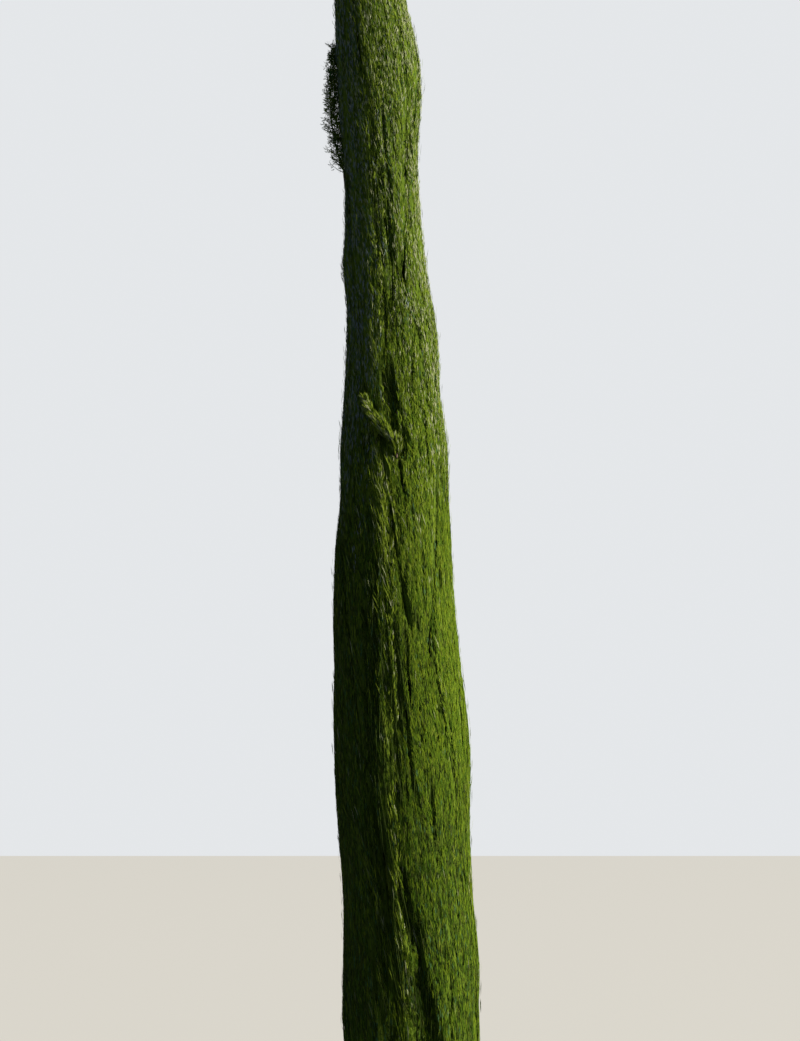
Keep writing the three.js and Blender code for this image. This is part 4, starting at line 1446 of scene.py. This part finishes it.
# One mass with its bough: stem, twigs, sprays and thatch
def makePlume(index):
    name = f"plume_{index + 1:02d}"
    random = np.random.RandomState(tree["seed"] + seeds["plumes"] + index)
    low, high = riseRange(index)
    footRise = max(mix(low, high, stems["footShare"]), stems["leastFoot"])
    foot = fromGrowth(plumeTurns[index], footRise, plumes["innerReach"] - stems["footInset"])
    limb = boughLine(foot, min(stems["climb"], foot[2] - stems["lowestStart"]))
    makeBough(f"bough_{index + 1:02d}", limb, seeds["boughs"] + index)

    topRise = mix(low, high, stems["topShare"])
    share = np.array(stems["points"])
    stemRise = mix(footRise, topRise, share)
    spanLow, spanHigh, _ = insetSpan(index, stemRise, plumes["inset"])
    stemTurn = plumeTurns[index] + (spanLow + spanHigh) / 2 * share
    stemReach = mix(plumes["innerReach"], stems["outerReach"], share ** stems["curve"])
    stem = stemLine(limb, fromGrowth(stemTurn, stemRise, stemReach))

    rise, across = facePlaces(index, low, high, random)
    count = len(rise)
    spanLow, spanHigh, _ = insetSpan(index, rise, twigs["edgeInset"])
    turn = plumeTurns[index] + mix(spanLow, spanHigh, 0.5 + across / 2)
    groove = twigs["groove"] * np.abs(across) ** twigs["grooveSharpness"]
    uneven = mix(*twigs["unevenness"], ease(rise, *crown["loosens"])) * random.rand(count)
    start = twigs["startReach"] - groove - uneven
    end = twigs["endReach"] - groove * twigs["tipGroove"] - uneven
    up = np.clip((rise - footRise) / (topRise - footRise), stems["lowestTwig"], 1)
    fromRise = mix(footRise, topRise, up)
    fromTurn = np.interp(up, np.r_[0, share], np.r_[plumeTurns[index], stemTurn])
    fromReach = plumes["innerReach"] - stems["footInset"] * (1 - up)
    fromReach = mix(fromReach, stems["outerReach"], up ** stems["curve"])
    drift = twigs["drift"] * (2 * random.rand(count) - 1)
    lines = twigLines(turn, rise, start, end, fromTurn, fromRise, fromReach, twigs["upright"], drift)
    lines = tuckUnderSkirt(raised(lines, twigs["lowest"]), twigs["skirtInset"])
    stand = random.rand(count)
    faces = makeTwigs(name, stem, pressPartings(lines, stand[:, None]))
    faces += dressTwigs(name, lines, random, index, stand)
    makeThatch(name, index, low, high, seeds["thatch"] + index)
    return faces


# The direction that stands off a line at a right angle, turned round it from a guide
def offLine(along, guide, turn):
    across = unit(np.cross(guide, along))
    return across * math.cos(turn) + np.cross(along, across) * math.sin(turn)


def makeFreePlume(name, plume, seed):
    random = np.random.RandomState(tree["seed"] + seed)
    makeBough(f"{name}_bough", plume["bough"], seed)
    steps = freeRule["smoothSteps"]
    curve = smoothLine(plume["line"], steps)
    t = np.linspace(0, 1, twigs["steps"])[:, None]
    opening = np.sin(t * math.pi / 2)
    least, more = freeRule["size"]
    lines = []
    for k in range(plume["twigs"]):
        share = mix(freeRule["twigsFrom"], freeRule["twigsTo"], k / (plume["twigs"] - 1))
        at = int(share * (steps - 2))
        origin = curve[at] - (0, 0, plume["sag"] * random.rand() * math.sin(share * math.pi))
        trunkward = unit((trunkLine(origin[2]) - origin) * (1, 1, 0))
        origin = origin + trunkward * plume["inward"] * random.rand()
        along = unit(curve[at + 1] - curve[at])
        out = offLine(along, (0, 0, 1), k * goldenTurn + freeRule["turnSpread"] * random.rand())
        size = (least + more * random.rand()) * mix(1, freeRule["tipSize"], share)
        lines.append(origin + size * (out * plume["out"] * opening + along * plume["up"] * t))
    lines.append(smoothLine(plume["line"][-3:], twigs["steps"]))
    end = plume["bough"][-1]
    along = unit(end - plume["bough"][-2])
    for k in range(plume["collar"]):
        out = offLine(along, (1, 0, 0), k * goldenTurn)
        origin = end - along * freeRule["collarDepth"] * (k + 0.5) / plume["collar"]
        spread = out * freeRule["collarOut"] * opening + along * freeRule["collarUp"] * t
        lines.append(origin + spread)
    lines = np.array(lines)
    faces = makeTwigs(name, stemLine(plume["bough"], plume["line"][1:]), lines)
    return faces + dressTwigs(name, lines, random)


# The pointed mass round the trunk's tip
leader = {
    "twigs": 380,
    "from": 8.86,
    "to": 9.78,
    "crowding": 1.25,  # of the twigs towards its foot
    "turnSpread": 0.5,
    "uneven": 0.06,
    "start": 0.84,
    "end": 0.95,
    "stemReach": 0.05,
    "stemDrop": 0.05,
    "upright": 0.12,
    "uprightLost": 0.6,  # on the way up
    "drift": 0.05,
    "headroom": 0.1,  # below the tree's height that its twigs keep
    "overlap": 0.12,  # how far below its space its sprays may start
    "tipTwigs": 5,
    "tipFoot": (9.45, 0.06),  # height of the first one's foot, and what each adds
    "tipTop": (9.72, 0.04),
    "tipOut": 0.012,
    "stemHeights": (9.42, 9.55, 9.7, 9.86),
    "thatchReach": 0.83,
    "thatchFrom": 8.5,
    "thatchTop": 9.66,
    "thatchRows": 22,
    "thatchColumns": 30,
    "thatchTip": 0.02,
    "thatchRounding": 0.4,
}


def makeLeader():
    random = np.random.RandomState(tree["seed"] + seeds["leader"])
    count = leader["twigs"]
    k = np.arange(count)
    level = (k + random.rand(count)) / count
    rise = mix(leader["from"], leader["to"], level ** leader["crowding"])
    turn = k * goldenTurn + leader["turnSpread"] * random.rand(count)
    uneven = leader["uneven"] * random.rand(count)
    start = leader["start"] - uneven
    end = leader["end"] - uneven
    fromRise = rise - leader["stemDrop"]
    fromReach = leader["stemReach"] + 0 * turn
    upright = leader["upright"] * (1 - leader["uprightLost"] * level)[:, None]
    drift = leader["drift"] * (random.rand(count) - 0.5)
    lines = twigLines(turn, rise, start, end, turn, fromRise, fromReach, upright, drift)
    lines[..., 2] = np.minimum(lines[..., 2], tree["height"] - leader["headroom"])
    tips = []
    for tip in range(leader["tipTwigs"]):
        foot, top = (least + more * tip for least, more in (leader["tipFoot"], leader["tipTop"]))
        height = np.linspace(foot, top, twigs["steps"])
        spread = leader["tipOut"] * np.sin(np.linspace(0, 1, twigs["steps"]) * math.pi)
        tips.append(polarPoint(tip * goldenTurn, spread, height))
    lines = np.vstack([lines, np.array(tips)])
    stem = np.array([trunkLine(height) for height in leader["stemHeights"]])
    faces = makeTwigs("leader", stem, lines)
    faces += dressTwigs("leader", lines, random)

    rise = np.linspace(leader["thatchFrom"], leader["thatchTop"], leader["thatchRows"])[:, None]
    around = fullTurn * np.arange(leader["thatchColumns"])[None, :] / leader["thatchColumns"]
    below = rise[-1] - rise + leader["thatchTip"]
    reach = leader["thatchReach"] * np.sqrt(np.clip(below / leader["thatchRounding"], 0, 1))
    even = 0 * (rise + around)
    makeThatchPiece("leader", fromGrowth(around + even, rise + even, reach + even))
    return faces


makeTrunk()
total = 0
for plumeIndex in range(plumes["count"]):
    total += makePlume(plumeIndex)
print("plumes grown:", total, "triangles of twigs and sprays")
for order, (plumeName, plume) in enumerate(freePlumes.items()):
    total += makeFreePlume(plumeName, plume, seeds["freePlumes"] + order)
total += makeLeader()
print("tree grown:", total, "triangles of twigs and sprays")


# Stage: a plain pale floor, soft daylight from the right and a pale backdrop

stage = {
    "floor": "#d9d8d2",
    "floorReach": 400,
    "floorRoughness": 0.9,
    "backdrop": (0.78, 0.8, 0.82, 1),
    "fill": (0.54, 0.66, 0.95, 1),
    "fillStrength": 0.125,
    "keyAzimuth": -13,  # degrees from +X
    "keyElevation": 32,
    "keyStrength": 5.75,
    "keySoftness": 9,  # degrees
    "keyColour": (1, 0.95, 0.86),
}


def makeStage():
    mesh = bpy.data.meshes.new("floor")
    far = stage["floorReach"]
    corners = [(-far, -far, 0), (far, -far, 0), (far, far, 0), (-far, far, 0)]
    mesh.from_pydata(corners, [], [(0, 1, 2, 3)])
    floor = bpy.data.objects.new("floor", mesh)
    bpy.context.scene.collection.objects.link(floor)
    material, _, shader = newMaterial("floor")
    shader.inputs["Base Color"].default_value = colour(stage["floor"])
    shader.inputs["Roughness"].default_value = stage["floorRoughness"]
    mesh.materials.append(material)
    floor.visible_diffuse = False  # it catches the shadow and gives no light back

    light = bpy.data.lights.new("key", "SUN")
    light.energy = stage["keyStrength"]
    light.angle = math.radians(stage["keySoftness"])
    light.color = stage["keyColour"]
    key = bpy.data.objects.new("key", light)
    azimuth, elevation = math.radians(stage["keyAzimuth"]), math.radians(stage["keyElevation"])
    level = math.cos(elevation)
    towards = Vector((math.cos(azimuth) * level, math.sin(azimuth) * level, math.sin(elevation)))
    key.rotation_euler = towards.to_track_quat("Z", "Y").to_euler()
    bpy.context.scene.collection.objects.link(key)

    world = bpy.data.worlds.new("studio")
    bpy.context.scene.world = world
    world.use_nodes = True
    nodes, links = world.node_tree.nodes, world.node_tree.links
    fill = nodes["Background"]
    fill.inputs["Color"].default_value = stage["fill"]
    fill.inputs["Strength"].default_value = stage["fillStrength"]
    seen = nodes.new("ShaderNodeBackground")
    seen.inputs["Color"].default_value = stage["backdrop"]
    path = nodes.new("ShaderNodeLightPath")
    either = nodes.new("ShaderNodeMixShader")
    links.new(path.outputs["Is Camera Ray"], either.inputs["Fac"])
    links.new(fill.outputs["Background"], either.inputs[1])
    links.new(seen.outputs["Background"], either.inputs[2])
    links.new(either.outputs["Shader"], nodes["World Output"].inputs["Surface"])


makeStage()
bpy.context.scene.view_settings.view_transform = "Standard"
print("stage set")
